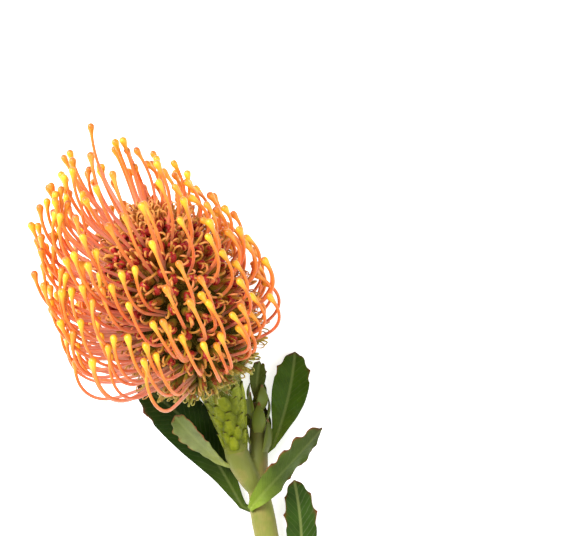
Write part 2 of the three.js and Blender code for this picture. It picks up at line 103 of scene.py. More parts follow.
EDGE = 3  # metres from the middle of the table to each of its edges
table_mesh = bpy.data.meshes.new("light_table")
table_mesh.from_pydata(
    [(-EDGE, -EDGE, 0), (EDGE, -EDGE, 0), (EDGE, EDGE, 0), (-EDGE, EDGE, 0)], [], [(0, 1, 2, 3)]
)
table_mesh.materials.append(opal_sheet)
light_table = bpy.data.objects.new("light_table", table_mesh)
scene.collection.objects.link(light_table)

for name, place, width, watts in (
    ("left_soft_box", (-0.55, 0.35, 0.75), 0.45, 15.0),
    ("right_soft_box", (0.6, -0.25, 0.7), 0.8, 4.5),
):
    lamp = bpy.data.lights.new(name, "AREA")
    lamp.energy = watts
    lamp.size = width
    soft_box = bpy.data.objects.new(name, lamp)
    soft_box.location = place
    soft_box.rotation_euler = (-soft_box.location).to_track_quat("-Z", "Y").to_euler()
    scene.collection.objects.link(soft_box)

white_room = bpy.data.worlds.new("white_room")
white_room.use_nodes = True
room_light = white_room.node_tree.nodes["Background"].inputs
room_light["Color"].default_value = linear("#FFFFFF")
room_light["Strength"].default_value = 0.42
scene.world = white_room
scene.view_settings.view_transform = "Standard"

CAMERA_TILT = math.radians(83)  # down from level
CAMERA_AWAY, CAMERA_AIM = 700, (29, 82, 23)
PHOTO_WIDTH, FOCAL_PIXELS, SENSOR_MM = 582, 1750, 36
lens = bpy.data.cameras.new("photo_camera")
lens.sensor_width = SENSOR_MM
lens.lens = SENSOR_MM * FOCAL_PIXELS / PHOTO_WIDTH
lens.clip_start, lens.clip_end = 0.05, 20
camera = bpy.data.objects.new("photo_camera", lens)
camera.location = (
    CAMERA_AIM[0] * MM,
    (CAMERA_AIM[1] - CAMERA_AWAY * math.cos(CAMERA_TILT)) * MM,
    (CAMERA_AIM[2] + CAMERA_AWAY * math.sin(CAMERA_TILT)) * MM,
)
camera.rotation_euler = (math.pi / 2 - CAMERA_TILT, 0, 0)
scene.collection.objects.link(camera)
scene.camera = camera

# The stem: a season's green wood, about 10 mm thick, with the collar that the stalk grows from
# and a short shoot past it. It was cut square with shears. Its bark is thin and downy, and it
# rests on the table. Sizes are millimetres on the drawing, whose middle is DRAWING_MIDDLE.
DRAWING_MIDDLE = np.array([1.0, -38.4, 0.0])
TABLE_CLEARANCE = 0.05
STEM_ROUTE = [
    (34, -168), (32, -140), (29, -110), (24.5, -82),
    (19.6, -60), (16.8, -42), (16.8, -25), (16, -9),
]
STEM_RADII = [5.1, 5.0, 4.9, 4.9, 4.9, 4.9, 4.9, 4.9, 4.2, 3.7, 3.0]
STALK_FOOT = np.array([8.2, -30.5, 9.6])
STALK_FOOT_AHEAD = np.array([-0.19, 0.95, 0.26]) / np.linalg.norm([-0.19, 0.95, 0.26])
JOINT_COVER = 2.6  # the collar's healed lip of bark, over the foot of the stalk
RIGHT = np.array([1.0, 0.0, 0.0])


def unit(v):
    """Vectors brought to a length of one."""
    v = np.asarray(v, float)
    return v / np.linalg.norm(v, axis=-1, keepdims=True)


def sample(values, shares):
    """Reads a list of evenly spaced values at shares from 0 to 1."""
    return np.interp(np.asarray(shares) * (len(values) - 1), range(len(values)), values)


def evenly(fine, shares):
    """Points at shares of a line's length, and the direction ahead at each."""
    fine = np.asarray(fine, float)
    walked = np.concatenate([[0], np.cumsum(np.linalg.norm(np.diff(fine, axis=0), axis=1))])
    at = np.asarray(shares) * walked[-1]
    slopes = np.gradient(fine, walked, axis=0)
    points = np.stack([np.interp(at, walked, fine[:, k]) for k in range(3)], axis=1)
    ahead = np.stack([np.interp(at, walked, slopes[:, k]) for k in range(3)], axis=1)
    return points, unit(ahead)


def through(points, shares):
    """A smooth line through points, as a bent twig takes."""
    p = [np.asarray(q, float) for q in points]
    p = [2 * p[0] - p[1]] + p + [2 * p[-1] - p[-2]]
    fine = [p[1]]
    for a, b, c, d in zip(p, p[1:], p[2:], p[3:]):
        before, span, after = [np.linalg.norm(w - v) ** 0.5 for v, w in ((a, b), (b, c), (c, d))]
        leave = ((b - a) / before - (c - a) / (before + span) + (c - b) / span) * span
        reach = ((c - b) / span - (d - b) / (span + after) + (d - c) / after) * span
        for s in np.linspace(0, 1, 41)[1:]:
            bend = 3 * (c - b) - 2 * leave - reach
            fine.append(b + leave * s + bend * s**2 + (2 * (b - c) + leave + reach) * s**3)
    return evenly(fine, shares)


def bent(handles, shares):
    """A curve from the first handle to the last, drawn towards the two between."""
    a, b, c, d = [np.asarray(h, float) for h in handles]
    s = np.linspace(0, 1, 201)[:, None]
    fine = a * (1 - s) ** 3 + b * 3 * s * (1 - s) ** 2 + c * 3 * s**2 * (1 - s) + d * s**3
    return evenly(fine, shares)


def round_rings(points, ahead, radii, sides, across, flatness=1.0):
    """Rings about a line, as wide as radii along across and flatter the other way."""
    side = unit(across - ahead * (ahead @ across)[:, None])
    top = np.cross(ahead, side)
    turn = np.linspace(0, 2 * math.pi, sides, endpoint=False)[None, :, None]
    spoke = np.cos(turn) * side[:, None] + flatness * np.sin(turn) * top[:, None]
    return points[:, None] + np.broadcast_to(radii, len(points))[:, None, None] * spoke


class Growth:
    """Small closed skins gathered into one mesh, with the marks that its finish reads."""

    def __init__(self):
        self.corners, self.faces, self.marks, self.count = [], [], {}, 0

    def add(self, rings, **marks):
        """Adds one skin of rings, closed at both ends, with each mark by the ring or corner."""
        steps, sides = rings.shape[:2]
        at = self.count + np.arange(steps * sides).reshape(steps, sides)
        turned = np.roll(at, -1, axis=1)
        walls = np.stack([at[:-1], turned[:-1], turned[1:], at[1:]], axis=-1)
        self.faces += walls.reshape(-1, 4).tolist()
        self.faces += [at[0, ::-1].tolist(), at[-1].tolist()]
        self.corners.append(rings.reshape(-1, 3))
        for name, value in marks.items():
            value = np.asarray(value, float)
            value = value[:, None] if value.ndim == 1 else value
            layer = np.broadcast_to(value, (steps, sides)).ravel()
            self.marks.setdefault(name, []).append(layer)
        self.count += steps * sides

    def mesh(self, name):
        """All that was added, in metres in the part's frame, and nowhere under the table."""
        corners = np.concatenate(self.corners)
        corners[:, 2] = np.maximum(corners[:, 2], TABLE_CLEARANCE)
        made = bpy.data.meshes.new(name)
        made.from_pydata(((corners - DRAWING_MIDDLE) * MM).tolist(), [], self.faces)
        for mark, layers in self.marks.items():
            values = np.concatenate(layers).astype(np.float32)
            made.attributes.new(mark, "FLOAT", "POINT").data.foreach_set("value", values)
        made.shade_smooth()
        return made


def set_on_root(name, skin, finish, cad_node):
    """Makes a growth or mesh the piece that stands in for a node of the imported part."""
    mesh = skin.mesh(name) if isinstance(skin, Growth) else skin
    mesh.materials.append(finish)
    piece = bpy.data.objects.new(name, mesh)
    scene.collection.objects.link(piece)
    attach(piece, "root")
    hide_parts(cad_node)


REST_SHARE = math.cos(math.pi / 12)  # the stem's axis lies this share of its radius over the table
STEM_SIDES = 40
BARK_SHARE, UNEVEN = 0.99, 0.1  # the bark's share of the radius, and how far it is lumpy
SHOOT_TAPER_FROM, SHOOT_TAPER_OVER = -17, 8
LEAF_SCARS_AT = (-140, -119, -98, -88, -70, -52, -27)
SCAR_RISE, SCAR_REACH = 0.22, 2.6
COLLAR_START, COLLAR_WAY, COLLAR_HANDLE = np.array([16.4, -44, 5.4]), (-2.2, 3.4, 1), 5
COLLAR_RADII = [4, 4.3, 4.5, 4.6, 4.7, 4.85, 4.95, 4.6]
route = []
for k, (x, y) in enumerate(STEM_ROUTE):
    radius = float(sample(STEM_RADII, k / (len(STEM_ROUTE) - 1)))
    route.append((x, y, radius * REST_SHARE + TABLE_CLEARANCE))
along_stem = np.linspace(0, 1, 200)
points, ahead = through(route, along_stem)
scars = sum(
    SCAR_RISE * np.exp(-(((points[:, 1] - y) / SCAR_REACH) ** 2)) for y in LEAF_SCARS_AT
)
uneven = UNEVEN * np.sin(along_stem * 61) * np.sin(along_stem * 23 + 1)
up_shoot = np.clip((points[:, 1] - SHOOT_TAPER_FROM) / SHOOT_TAPER_OVER, 0, 1)
shoot_taper = 1 - 0.5 * up_shoot**2
stem_radii = sample(STEM_RADII, along_stem) * BARK_SHARE * shoot_taper + scars + uneven
stem_growth = Growth()
stem_growth.add(round_rings(points, ahead, stem_radii, STEM_SIDES, RIGHT))
stem_line, stem_cut, stem_cut_ahead = points, points[0], ahead[0]
along_collar = np.linspace(0, 1, 40)
points, ahead = bent([
    COLLAR_START, COLLAR_START + COLLAR_WAY,
    STALK_FOOT - STALK_FOOT_AHEAD * COLLAR_HANDLE, STALK_FOOT + STALK_FOOT_AHEAD * JOINT_COVER,
], along_collar)
collar_radii = sample(COLLAR_RADII, along_collar)
stem_growth.add(round_rings(points, ahead, collar_radii, STEM_SIDES, RIGHT))
wood_line = np.concatenate([stem_line, points])

# Stem and collar are one growth, so they are melted together and smoothed like healed bark.
BARK_STEP, HEAL_SHARE, HEAL_TIMES = 0.5, 0.5, 5
rough_stem = bpy.data.objects.new("stem_rough", stem_growth.mesh("stem_rough"))
scene.collection.objects.link(rough_stem)
melt = rough_stem.modifiers.new("melt", "REMESH")
melt.mode, melt.voxel_size = "VOXEL", BARK_STEP * MM
heal = rough_stem.modifiers.new("heal", "SMOOTH")
heal.factor, heal.iterations = HEAL_SHARE, HEAL_TIMES
bpy.context.view_layer.update()
grown = rough_stem.evaluated_get(bpy.context.evaluated_depsgraph_get())
bark_mesh = bpy.data.meshes.new_from_object(grown)
bpy.data.objects.remove(rough_stem)
for corner in bark_mesh.vertices:
    corner.co.z = max(corner.co.z, TABLE_CLEARANCE * MM)
bark_mesh.shade_smooth()

# Green bark, grown: yellow-green low down, greener by the head and brown on the shoot. Ribs about
# 0.4 mm wide run along it, with a pinkish blush in patches of 10 mm, under a thin soft down.
BY, UNDER, OVER = 0, 6, 7  # a Mix node's sockets: it lays OVER on UNDER, BY a share
green_bark, tree = new_finish("green_protea_bark")
spot = node(tree, "TexCoord")
axes = node(tree, "SeparateXYZ", wires={"Vector": spot})
up_stem = node(
    tree, "MapRange", {"From Min": -0.130, "From Max": 0.030}, {"Value": axes.outputs["Y"]}
)
# The lighter stop at 0.8 is painted light: it lifts the bark beside the front leaf, where that leaf
# shades it.
bark_tone_and_light = node(
    tree, "ValToRGB", wires={"Fac": up_stem},
    stops=[(0.0, "#A39A5C"), (0.1, "#A2A456"), (0.55, "#98994A"), (0.7, "#7C8232"),
           (0.8, "#80863A"), (0.87, "#6E7430"), (1.0, "#5B4A2C")],
)
blush = node(tree, "TexNoise", {"Scale": 100.0, "Detail": 4.0}, {"Vector": spot})
blush_share = node(
    tree, "MapRange", {"From Min": 0.46, "From Max": 0.72, "To Max": 0.5}, {"Value": blush}
)
blushed = node(tree, "Mix", {OVER: "#B58A5C"}, {BY: blush_share, UNDER: bark_tone_and_light})
stretch = node(tree, "VectorMath", {1: (2500, 220, 2500)}, {0: spot}, operation="MULTIPLY")
ribs = node(tree, "TexNoise", {"Scale": 1.0, "Detail": 3.0}, {"Vector": stretch})
rib_shade = node(
    tree, "MapRange", {"From Min": 0.35, "From Max": 0.7, "To Max": 0.35}, {"Value": ribs}
)
ribbed = node(tree, "Mix", {OVER: "#6E7030"}, {BY: rib_shade, UNDER: blushed})
rib_bump = node(tree, "Bump", {"Strength": 0.35, "Distance": 0.0002}, {"Height": ribs})
node(
    tree, "BsdfPrincipled",
    {"Roughness": 0.55, "IOR": 1.45, "Sheen Weight": 0.05, "Sheen Roughness": 0.5,
     "Specular IOR Level": 0.3}, {"Base Color": ribbed, "Normal": rib_bump},
)
set_on_root("stem_bark", bark_mesh, green_bark, "stem")

# The cut end of the stem: wet cream wood round a pale green pith, inside a green ring of bark. The
# shears left it nearly flat, and its pores show as a fine grain, drawn 0.7 mm across.
CUT_RINGS, CUT_SIDES, CUT_RADIUS, CUT_BULGE = 14, 48, 4.75, 0.06
CUT_SUNK, CUT_ROOT = 0.025, 0.5  # how deep the cut face's rim and its hidden back lie in the stem
cut_side = unit(np.cross(stem_cut_ahead, [0, 0, 1]))
cut_top = np.cross(cut_side, stem_cut_ahead)
turn = np.linspace(0, 2 * math.pi, CUT_SIDES, endpoint=False)
spokes = np.cos(turn)[:, None] * cut_side + np.sin(turn)[:, None] * cut_top
inward = np.linspace(math.pi / 2, 0, CUT_RINGS)
cut_radii = CUT_RADIUS * np.sin(inward) + 0.02
cut_middles = stem_cut - stem_cut_ahead * (CUT_BULGE * np.cos(inward)[:, None] - CUT_SUNK)
inside_bark = stem_cut + stem_cut_ahead * CUT_ROOT
cut_growth = Growth()
cut_growth.add(
    np.concatenate([
        (inside_bark + spokes * 0.9 * CUT_RADIUS)[None],
        cut_middles[:, None] + cut_radii[:, None, None] * spokes,
    ]),
    radius=0.97 * np.concatenate([[1], cut_radii / CUT_RADIUS]),
)
cut_wood, tree = new_finish("fresh_cut_wood")
from_pith = node(tree, "Attribute", attribute_name="radius")
spot = node(tree, "TexCoord")
grain = node(tree, "TexNoise", {"Scale": 1400.0, "Detail": 4.0}, {"Vector": spot})
wavy = node(tree, "Math", {1: 0.12}, {0: grain, 2: from_pith}, operation="MULTIPLY_ADD")
rings_of_wood = node(
    tree, "ValToRGB", wires={"Fac": wavy},
    stops=[(0.0, "#C9C48E"), (0.22, "#C4C182"), (0.3, "#A9A465"), (0.36, "#DDD3A4"),
           (0.8, "#D6CC98"), (0.88, "#9DA25A"), (0.97, "#7D7F42")],
)
grain_bump = node(tree, "Bump", {"Strength": 0.5, "Distance": 0.0001}, {"Height": grain})
node(
    tree, "BsdfPrincipled", {"Roughness": 0.45, "IOR": 1.5},
    {"Base Color": rings_of_wood, "Normal": grain_bump},
)
set_on_root("stem_cut_end", cut_growth, cut_wood, "stem")

# The leaves: stiff leathery blades that sit on the stem without a stalk. Each has a midrib that
# stands out below, side veins that leave it at a slant, and towards its tip a red rim with teeth
# that end in hard brown glands.
# Half widths from foot to tip, as shares of the widest one.
BROAD = [0.25, 0.3, 0.5, 0.75, 0.92, 1, 0.98, 0.86, 0.5]
NARROW = [0.3, 0.42, 0.6, 0.78, 0.9, 1, 1, 0.9, 0.55]
POINTED = [0.3, 0.45, 0.65, 0.84, 0.96, 1, 0.93, 0.72, 0.34]
BLUNT = [0.3, 0.4, 0.52, 0.65, 0.78, 0.9, 1, 1, 0.7]
# A leaf's midrib follows path from the wood to its tip, and half is its widest half width. Its
# face turns from the way it looks at its base to the way at its tip, over the share turned_by
# of its length. fold is the slope at which its halves rise, and wave and edge_wave ripple them.
LEAVES = {
    # This leaf lies under the head: its nearly black green blade and tip are painted shade, darker
    # than its own green.
    "leaf_broad_left": dict(
        path=[(10.6, -51, 3.2), (2, -38, 2.2), (-6, -17, 1.6), (-31, -3, 1.4)],
        half=10.5, widths=BROAD, face_at_base=(-0.3, -0.2, 1), face_at_tip=(0, 0, 1),
        fold=0.05, wave=0.3, teeth_from=0.8, blade="#182C03", base="#33450C", tip="#1A2E04",
        edge_wave=0.2, rib=0.1, dullness=0.3,
    ),
    "leaf_small_left": dict(
        path=[(3.9, -34.5, 10.2), (-1, -31.5, 12), (-8.5, -24.5, 14.5), (-15.5, -16, 16)],
        half=5.7, widths=BLUNT, face_at_base=(-0.5, -0.6, 0.7), face_at_tip=(-0.5, -0.45, 0.8),
        fold=0.2, wave=0.4, teeth_from=0.45, blade="#747E4C", base="#8E984C", tip="#5E6C34",
        edge_wave=0.4, rib=0.1, dullness=0.5,
    ),
    "leaf_front": dict(
        path=[(13.9, -52, 8.4), (16, -48, 14.5), (28, -36.5, 15.5), (41.5, -21, 15)],
        half=6.5, widths=POINTED, face_at_base=(-0.4, 0.1, 1), face_at_tip=(0.55, -0.65, 0.8),
        turned_by=0.55, fold=0.4, tip_fold=-0.25, wave=0.9, teeth_from=0.36, blade="#485C22",
        base="#748A2A", tip="#465426", edge_wave=0.8, rib=0.1, dullness=0.5,
    ),
    "leaf_right": dict(
        path=[(22.4, -27, 3.6), (26, -19, 3.2), (30, -6, 3.4), (31.5, 10, 2.4)],
        half=7.5, widths=BROAD, face_at_base=(0.2, 0, 1), face_at_tip=(0.1, 0, 1),
        fold=0.15, wave=0.5, teeth_from=0.75, blade="#3C5A0A", base="#5E7614", tip="#3A560C",
        edge_wave=0.3, rib=0.22, dullness=0.38,
    ),
    "leaf_shoot": dict(
        path=[(16, -8.4, 3), (16, -5, 4), (16, 0, 4.6), (17, 6.5, 4.4)],
        half=3.4, widths=NARROW, face_at_base=(0.1, 0, 1), face_at_tip=(0.2, 0.1, 1),
        fold=0.25, wave=0.2, teeth_from=0.7, blade="#48541A", base="#6A6A2A", tip="#48541A",
        edge_wave=0.2, rib=0.2, dullness=0.5,
    ),
    "leaf_low_right": dict(
        path=[(32.2, -88, 3.2), (34.5, -76, 3.4), (35.5, -62, 3.2), (31.5, -42, 2.4)],
        half=6.5, widths=BROAD, face_at_base=(0.1, 0, 1), face_at_tip=(0.25, 0.1, 1),
        fold=0.2, wave=0.6, teeth_from=0.62, blade="#2F4A10", base="#62742A", tip="#2C4610",
        edge_wave=0.4, rib=0.3, dullness=0.45,
    ),
    "leaf_low_left": dict(
        path=[(20.7, -98, 5.4), (11, -94, 7.5), (-2, -86, 8), (-17, -73, 4.6)],
        half=9.5, widths=NARROW, face_at_base=(-0.2, -0.2, 1), face_at_tip=(-0.3, 0.2, 1),
        fold=0.25, wave=0.8, teeth_from=0.6, blade="#3D5826", base="#7C8E40", tip="#3C5422",
        edge_wave=0.5, rib=0.3, dullness=0.5,
    ),
    "leaf_lowest_right": dict(
        path=[(36.35, -119, 5.2), (45, -114, 8), (56, -103, 9), (68, -88, 4.6)],
        half=9, widths=NARROW, face_at_base=(0.2, -0.2, 1), face_at_tip=(0.3, 0.2, 1),
        fold=0.25, wave=0.8, teeth_from=0.6, blade="#3A5522", base="#788A3C", tip="#36501E",
        edge_wave=0.5, rib=0.3, dullness=0.5,
    ),
}
LEAF_STEPS, LEAF_COLUMNS, LEAF_FOOT_STEPS = 96, 20, 8
LEAF_FOOT = 0.06  # the foot grown into the wood, as a share of the leaf's length
LEAF_ROOT_BELOW = 6  # how far below the blade its foot enters the wood
LEAF_ROOT_DEPTH = 0.85  # of the way from the bark to the wood's heart
LEAF_LIFT = 0.5  # the blade's lowest middle above the table
TEETH_PITCH = 1 / 6  # of the leaf's length
TOOTH_PEAK = 0.72  # of the pitch: a tooth leans towards the leaf's tip
TOOTH_DEPTH = 0.2  # of its half width
BLADE_THICK, EDGE_THINNED = 0.3, 0.13  # half the blade's thickness, and what its edge has less
MIDRIB_HALF, MIDRIB_SUNK, MIDRIB_PROUD = 0.75, 0.16, 0.5  # dipped on top, raised below
TABLE_SOFTNESS = 1.2  # how gently a pin or a blade bends up off the table


def smooth_step(x, low, high):
    """Rises from 0 to 1 between low and high, level at both ends."""
    s = np.clip((x - low) / (high - low), 0, 1)
    return s * s * (3 - 2 * s)


def lift_above(height, lowest):
    """Lifts heights smoothly so that none falls below the lowest one allowed."""
    return lowest + TABLE_SOFTNESS * np.logaddexp(0, (height - lowest) / TABLE_SOFTNESS)


def both_faces(top, under=None):
    """Rows that run over the top face and back under it, where the same marks hold."""
    return np.concatenate([top, (top if under is None else under)[:, ::-1]], axis=1)


def leaf_growth(leaf):
    """One leaf's blade and its foot in the wood, marked with its veins, rim and glands."""
    foot_shares = np.linspace(-LEAF_FOOT, 0, LEAF_FOOT_STEPS, endpoint=False)
    t = np.concatenate([foot_shares, np.linspace(0, 1, LEAF_STEPS + 1)])
    foot = np.clip(-t / LEAF_FOOT, 0, 1)
    t = np.clip(t, 0, 1)
    middle, ahead = bent(leaf["path"], t)
    turned = np.clip(t / leaf.get("turned_by", 1), 0, 1)[:, None]
    toward = unit(leaf["face_at_base"]) * (1 - turned) + unit(leaf["face_at_tip"]) * turned
    side = unit(np.cross(ahead, toward))
    normal = np.cross(side, ahead)
    below = middle[0] - ahead[0] * LEAF_ROOT_BELOW
    heart = wood_line[np.argmin(np.linalg.norm(wood_line - below, axis=1))]
    middle = middle + (heart - middle[0]) * (LEAF_ROOT_DEPTH * foot[:, None])
    widths = sum(sample(leaf["widths"], np.clip(t + s, 0, 1)) for s in (-0.05, 0, 0, 0.05)) / 4
    widths[-4:] *= (0.99, 0.95, 0.87, 0.72)  # a rounder tip
    v = np.sin(np.linspace(-0.5, 0.5, LEAF_COLUMNS + 1) * math.pi)[None, :]
    phase = ((t - leaf["teeth_from"]) / TEETH_PITCH) % 1
    ramp = np.where(phase < TOOTH_PEAK, phase / TOOTH_PEAK, (1 - phase) / (1 - TOOTH_PEAK))
    toothed = smooth_step(t, leaf["teeth_from"] - 0.02, leaf["teeth_from"] + 0.03)
    tooth = (toothed * TOOTH_DEPTH * (ramp**2 - 0.4))[:, None] * np.abs(v) ** 5
    narrowed = 1 - 0.35 * (1 - smooth_step(t, 0, 0.14)) - 0.25 * foot
    half = (leaf["half"] * widths * narrowed)[:, None]
    reach = v * half * (1 + tooth)
    t, foot = t[:, None], foot[:, None]
    ripple = np.sin(t * 9 + v) * np.sin(math.pi * t)
    frill = leaf["edge_wave"] * np.abs(v) ** 3 * np.sin(t * 34 + 2.6 * v) * smooth_step(t, 0.1, 0.5)
    fold = leaf["fold"] + (leaf.get("tip_fold", leaf["fold"]) - leaf["fold"]) * turned
    rise = fold * np.abs(reach) + leaf["wave"] * v * np.abs(v) * ripple + frill
    tip_teeth = (0.25 + 0.75 * np.cos(2 * math.pi * v)) * smooth_step(t, 0.93, 1)
    tip_round = 0.22 * leaf["half"] * (0.4 - v**2) * smooth_step(t, 0.8, 1)
    grid = (
        middle[:, None] + side[:, None] * reach[..., None] + normal[:, None] * rise[..., None]
        + ahead[:, None] * (tip_teeth + tip_round)[..., None]
    )
    grid[..., 2] = lift_above(grid[..., 2], LEAF_LIFT)
    across_mm = v * half
    rib = np.exp(-((across_mm / MIDRIB_HALF) ** 2)) * (1 - 0.75 * t)
    callus = (0.7 * foot + 0.5 * (1 - smooth_step(t, 0, 0.12))) * (1 - v**2)
    thick = BLADE_THICK - EDGE_THINNED * np.abs(v) ** 6 + callus
    top = grid + normal[:, None] * (thick - MIDRIB_SUNK * rib)[..., None]
    thick = np.minimum(thick + MIDRIB_PROUD * rib, 0.45 + callus)
    under = grid - normal[:, None] * thick[..., None]
    leaf_length = np.linalg.norm(np.diff(middle, axis=0), axis=1).sum()
    gland = (toothed * np.exp(-(((phase - TOOTH_PEAK) / 0.1) ** 2)))[:, None] * np.abs(v) ** 10
    gland = np.maximum(gland, smooth_step(t, 0.975, 1) * (0.15 + 0.6 * np.cos(math.pi * v) ** 2))
    rim = 0.6 * toothed[:, None] * np.abs(v) ** 30
    growth = Growth()
    growth.add(
        both_faces(top, under), along_mm=t * leaf_length, across_mm=both_faces(across_mm),
        gland=both_faces(gland), rim=both_faces(rim), age=t,
    )
    return growth


def leaf_skin(name, leaf):
    """Protea leaf, grown: thick dull cuticle over green flesh. It shows as a soft broad sheen, a
    paler midrib, side veins every 3.4 mm and cells drawn at 0.5 mm, coarser than they are."""
    finish, tree = new_finish(name + "_cuticle")
    spot = node(tree, "TexCoord")
    along_mm, across_mm, gland, rim, age = [
        node(tree, "Attribute", attribute_name=mark)
        for mark in ("along_mm", "across_mm", "gland", "rim", "age")
    ]
    aside = node(tree, "Math", wires={0: across_mm}, operation="ABSOLUTE")
    wander = node(tree, "TexNoise", {"Scale": 160.0, "Detail": 2.0}, {"Vector": spot})
    slant = node(tree, "Math", {1: -1.5}, {0: aside, 2: along_mm}, operation="MULTIPLY_ADD")
    wandering = node(tree, "Math", {1: 3.0}, {0: wander, 2: slant}, operation="MULTIPLY_ADD")
    vein_phase = node(tree, "Math", {1: 1.7}, {0: wandering}, operation="PINGPONG")
    side_vein = node(
        tree, "MapRange", {"From Max": 0.35, "To Min": 1.0, "To Max": 0.0}, {"Value": vein_phase}
    )
    midrib = node(
        tree, "MapRange", {"From Min": 0.25, "From Max": 0.8, "To Min": 1.0, "To Max": 0.0},
        {"Value": aside},
    )
    flesh = node(
        tree, "ValToRGB", wires={"Fac": age},
        stops=[(0.03, leaf["base"]), (0.45, leaf["blade"]), (0.65, leaf["blade"]),
               (0.95, leaf["tip"])],
    )
    patch = node(
        tree, "TexNoise", {"Scale": 110.0, "Detail": 5.0, "Roughness": 0.6}, {"Vector": spot}
    )
    patch_shade = node(
        tree, "MapRange", {"From Min": 0.3, "From Max": 0.7, "To Min": 0.75, "To Max": 1.3},
        {"Value": patch},
    )
    mottled = node(tree, "HueSaturation", {"Hue": 0.495}, {"Color": flesh, "Value": patch_shade})
    vein_share = node(tree, "Math", {1: leaf["rib"] * 0.3}, {0: side_vein}, operation="MULTIPLY")
    veined = node(tree, "Mix", {OVER: "#A8B46A"}, {BY: vein_share, UNDER: mottled})
    rib_share = node(tree, "Math", {1: leaf["rib"]}, {0: midrib}, operation="MULTIPLY")
    ribbed = node(tree, "Mix", {OVER: "#B4BC70"}, {BY: rib_share, UNDER: veined})
    rimmed = node(tree, "Mix", {OVER: "#A8543A"}, {BY: rim, UNDER: ribbed})
    toothed = node(tree, "Mix", {OVER: "#6B2417"}, {BY: gland, UNDER: rimmed})
    cells = node(tree, "TexVoronoi", {"Scale": 2000.0}, {"Vector": spot})
    cell_bump = node(tree, "Bump", {"Strength": 0.25, "Distance": 0.0001}, {"Height": cells})
    vein_bump = node(
        tree, "Bump", {"Strength": 0.4, "Distance": 0.00025},
        {"Height": side_vein, "Normal": cell_bump},
    )
    node(
        tree, "BsdfPrincipled",
        {"Roughness": leaf["dullness"], "IOR": 1.45, "Specular IOR Level": 0.12},
        {"Base Color": toothed, "Normal": vein_bump},
    )
    return finish


for name, leaf in LEAVES.items():
    set_on_root(name + "_blade", leaf_growth(leaf), leaf_skin(name, leaf), name)

# Young leaves: narrow, thick and still folded against the shoot, in a spiral up to its bud. They
# are soft, olive green, and reddish at their tips.
GOLDEN_ANGLE = math.pi * (3 - math.sqrt(5))  # between one leaf, bract or floret and the next
YOUNG_LEAVES, YOUNG_TALL, YOUNG_STEPS, YOUNG_SIDES = 11, 15, 22, 16
YOUNG_FROM, YOUNG_REACH = -31, 21.5  # where along the stem they start, and over how far
YOUNG_RADII, YOUNG_FLATNESS = [1.5, 2.3, 2.8, 2.8, 2.3, 1.3, 0.25], 0.24
UP_SHOOT = np.array([0, 1.0, 0])


def points_off(root, ways, steps):
    """Points off a root, each given by how far it steps along each of the ways."""
    return root + np.array(steps) @ np.array(ways)


young_growth = Growth()
for i in range(YOUNG_LEAVES):
    y = YOUNG_FROM + YOUNG_REACH * (i / (YOUNG_LEAVES - 1)) ** 0.8
    k = int(np.argmin(np.abs(stem_line[:, 1] - y)))
    swing = i * GOLDEN_ANGLE + 0.6
    spoke = math.cos(swing) * RIGHT + math.sin(swing) * np.array([0, 0, 1.0])
    radius, tall = stem_radii[k], YOUNG_TALL - 0.5 * i
    s = np.linspace(0, 1, YOUNG_STEPS)
    line, ahead = through(points_off(stem_line[k], (spoke, UP_SHOOT), [
        (radius - 1.3, 0), (radius + 0.6, tall * 0.3), (radius + 1.3, tall * 0.65),
        (radius + 0.6, tall),
    ]), s)
    across = np.cross(spoke, UP_SHOOT)
    width = sample(YOUNG_RADII, s)
    rings = round_rings(line, ahead, width, YOUNG_SIDES, across, YOUNG_FLATNESS)
    rings[..., 2] = lift_above(rings[..., 2], 0.1)
    young_growth.add(rings, age=s, tone=0.5 + 0.5 * math.sin(i * 2.4))

# Young leaf skin, grown: olive green and satiny, with lengthwise nerves 0.8 mm apart.
young_skin, tree = new_finish("young_leaf_skin")
spot = node(tree, "TexCoord")
age, tone = [node(tree, "Attribute", attribute_name=mark) for mark in ("age", "tone")]
stretch = node(tree, "VectorMath", {1: (1250, 120, 1250)}, {0: spot}, operation="MULTIPLY")
nerves = node(tree, "TexNoise", {"Scale": 1.0, "Detail": 2.0}, {"Vector": stretch})
nerve_stage = node(tree, "Math", {1: 0.14}, {0: nerves, 2: age}, operation="MULTIPLY_ADD")
young_tone = node(
    tree, "ValToRGB", wires={"Fac": nerve_stage},
    stops=[(0.1, "#868C40"), (0.5, "#6A7826"), (0.94, "#5C6620"), (1.0, "#76502C")],
)
young_shade = node(tree, "MapRange", {"To Min": 0.7, "To Max": 1.2}, {"Value": tone})
young_varied = node(tree, "HueSaturation", wires={"Color": young_tone, "Value": young_shade})
nerve_bump = node(tree, "Bump", {"Strength": 0.4, "Distance": 0.0002}, {"Height": nerves})
node(
    tree, "BsdfPrincipled", {"Roughness": 0.42, "IOR": 1.45, "Specular IOR Level": 0.3},
    {"Base Color": young_varied, "Normal": nerve_bump},
)
set_on_root("young_leaves", young_growth, young_skin, "stem")

# The stalk under the head: soft green wood that widens upwards, wrapped in small fleshy scales.
# The scales grow in a spiral, press against each other, and each ends in a dark dry point.
HEAD_BASE = np.array([0, 0, 21.5])
HEAD_LEAN, HEAD_TILT = math.radians(29), math.radians(30)
HEAD_AXIS = np.array([
    -math.sin(HEAD_LEAN) * math.cos(HEAD_TILT),
    math.cos(HEAD_LEAN) * math.cos(HEAD_TILT),
    math.sin(HEAD_TILT),
])
STALK_RADII = [4.6, 5.1, 6.4, 7.5, 8.2, 9.3]
STALK_HANDLE = 11
JOINT_GAP = 0.3  # between the stalk and the head, hidden by the skirt
STALK_SIDES, SCALE_BED = 48, 0.985  # the skin under the scales, as a share of the radius
BRACTS, BRACT_ROWS, BRACT_COLUMNS = 44, 16, 12
BRACTS_FROM, BRACTS_TO = 0.12, 0.83  # as shares of the stalk
BRACT_SUNK, BRACT_LENGTH = 2.8, 7.6
stalk_top = HEAD_BASE - HEAD_AXIS * JOINT_GAP
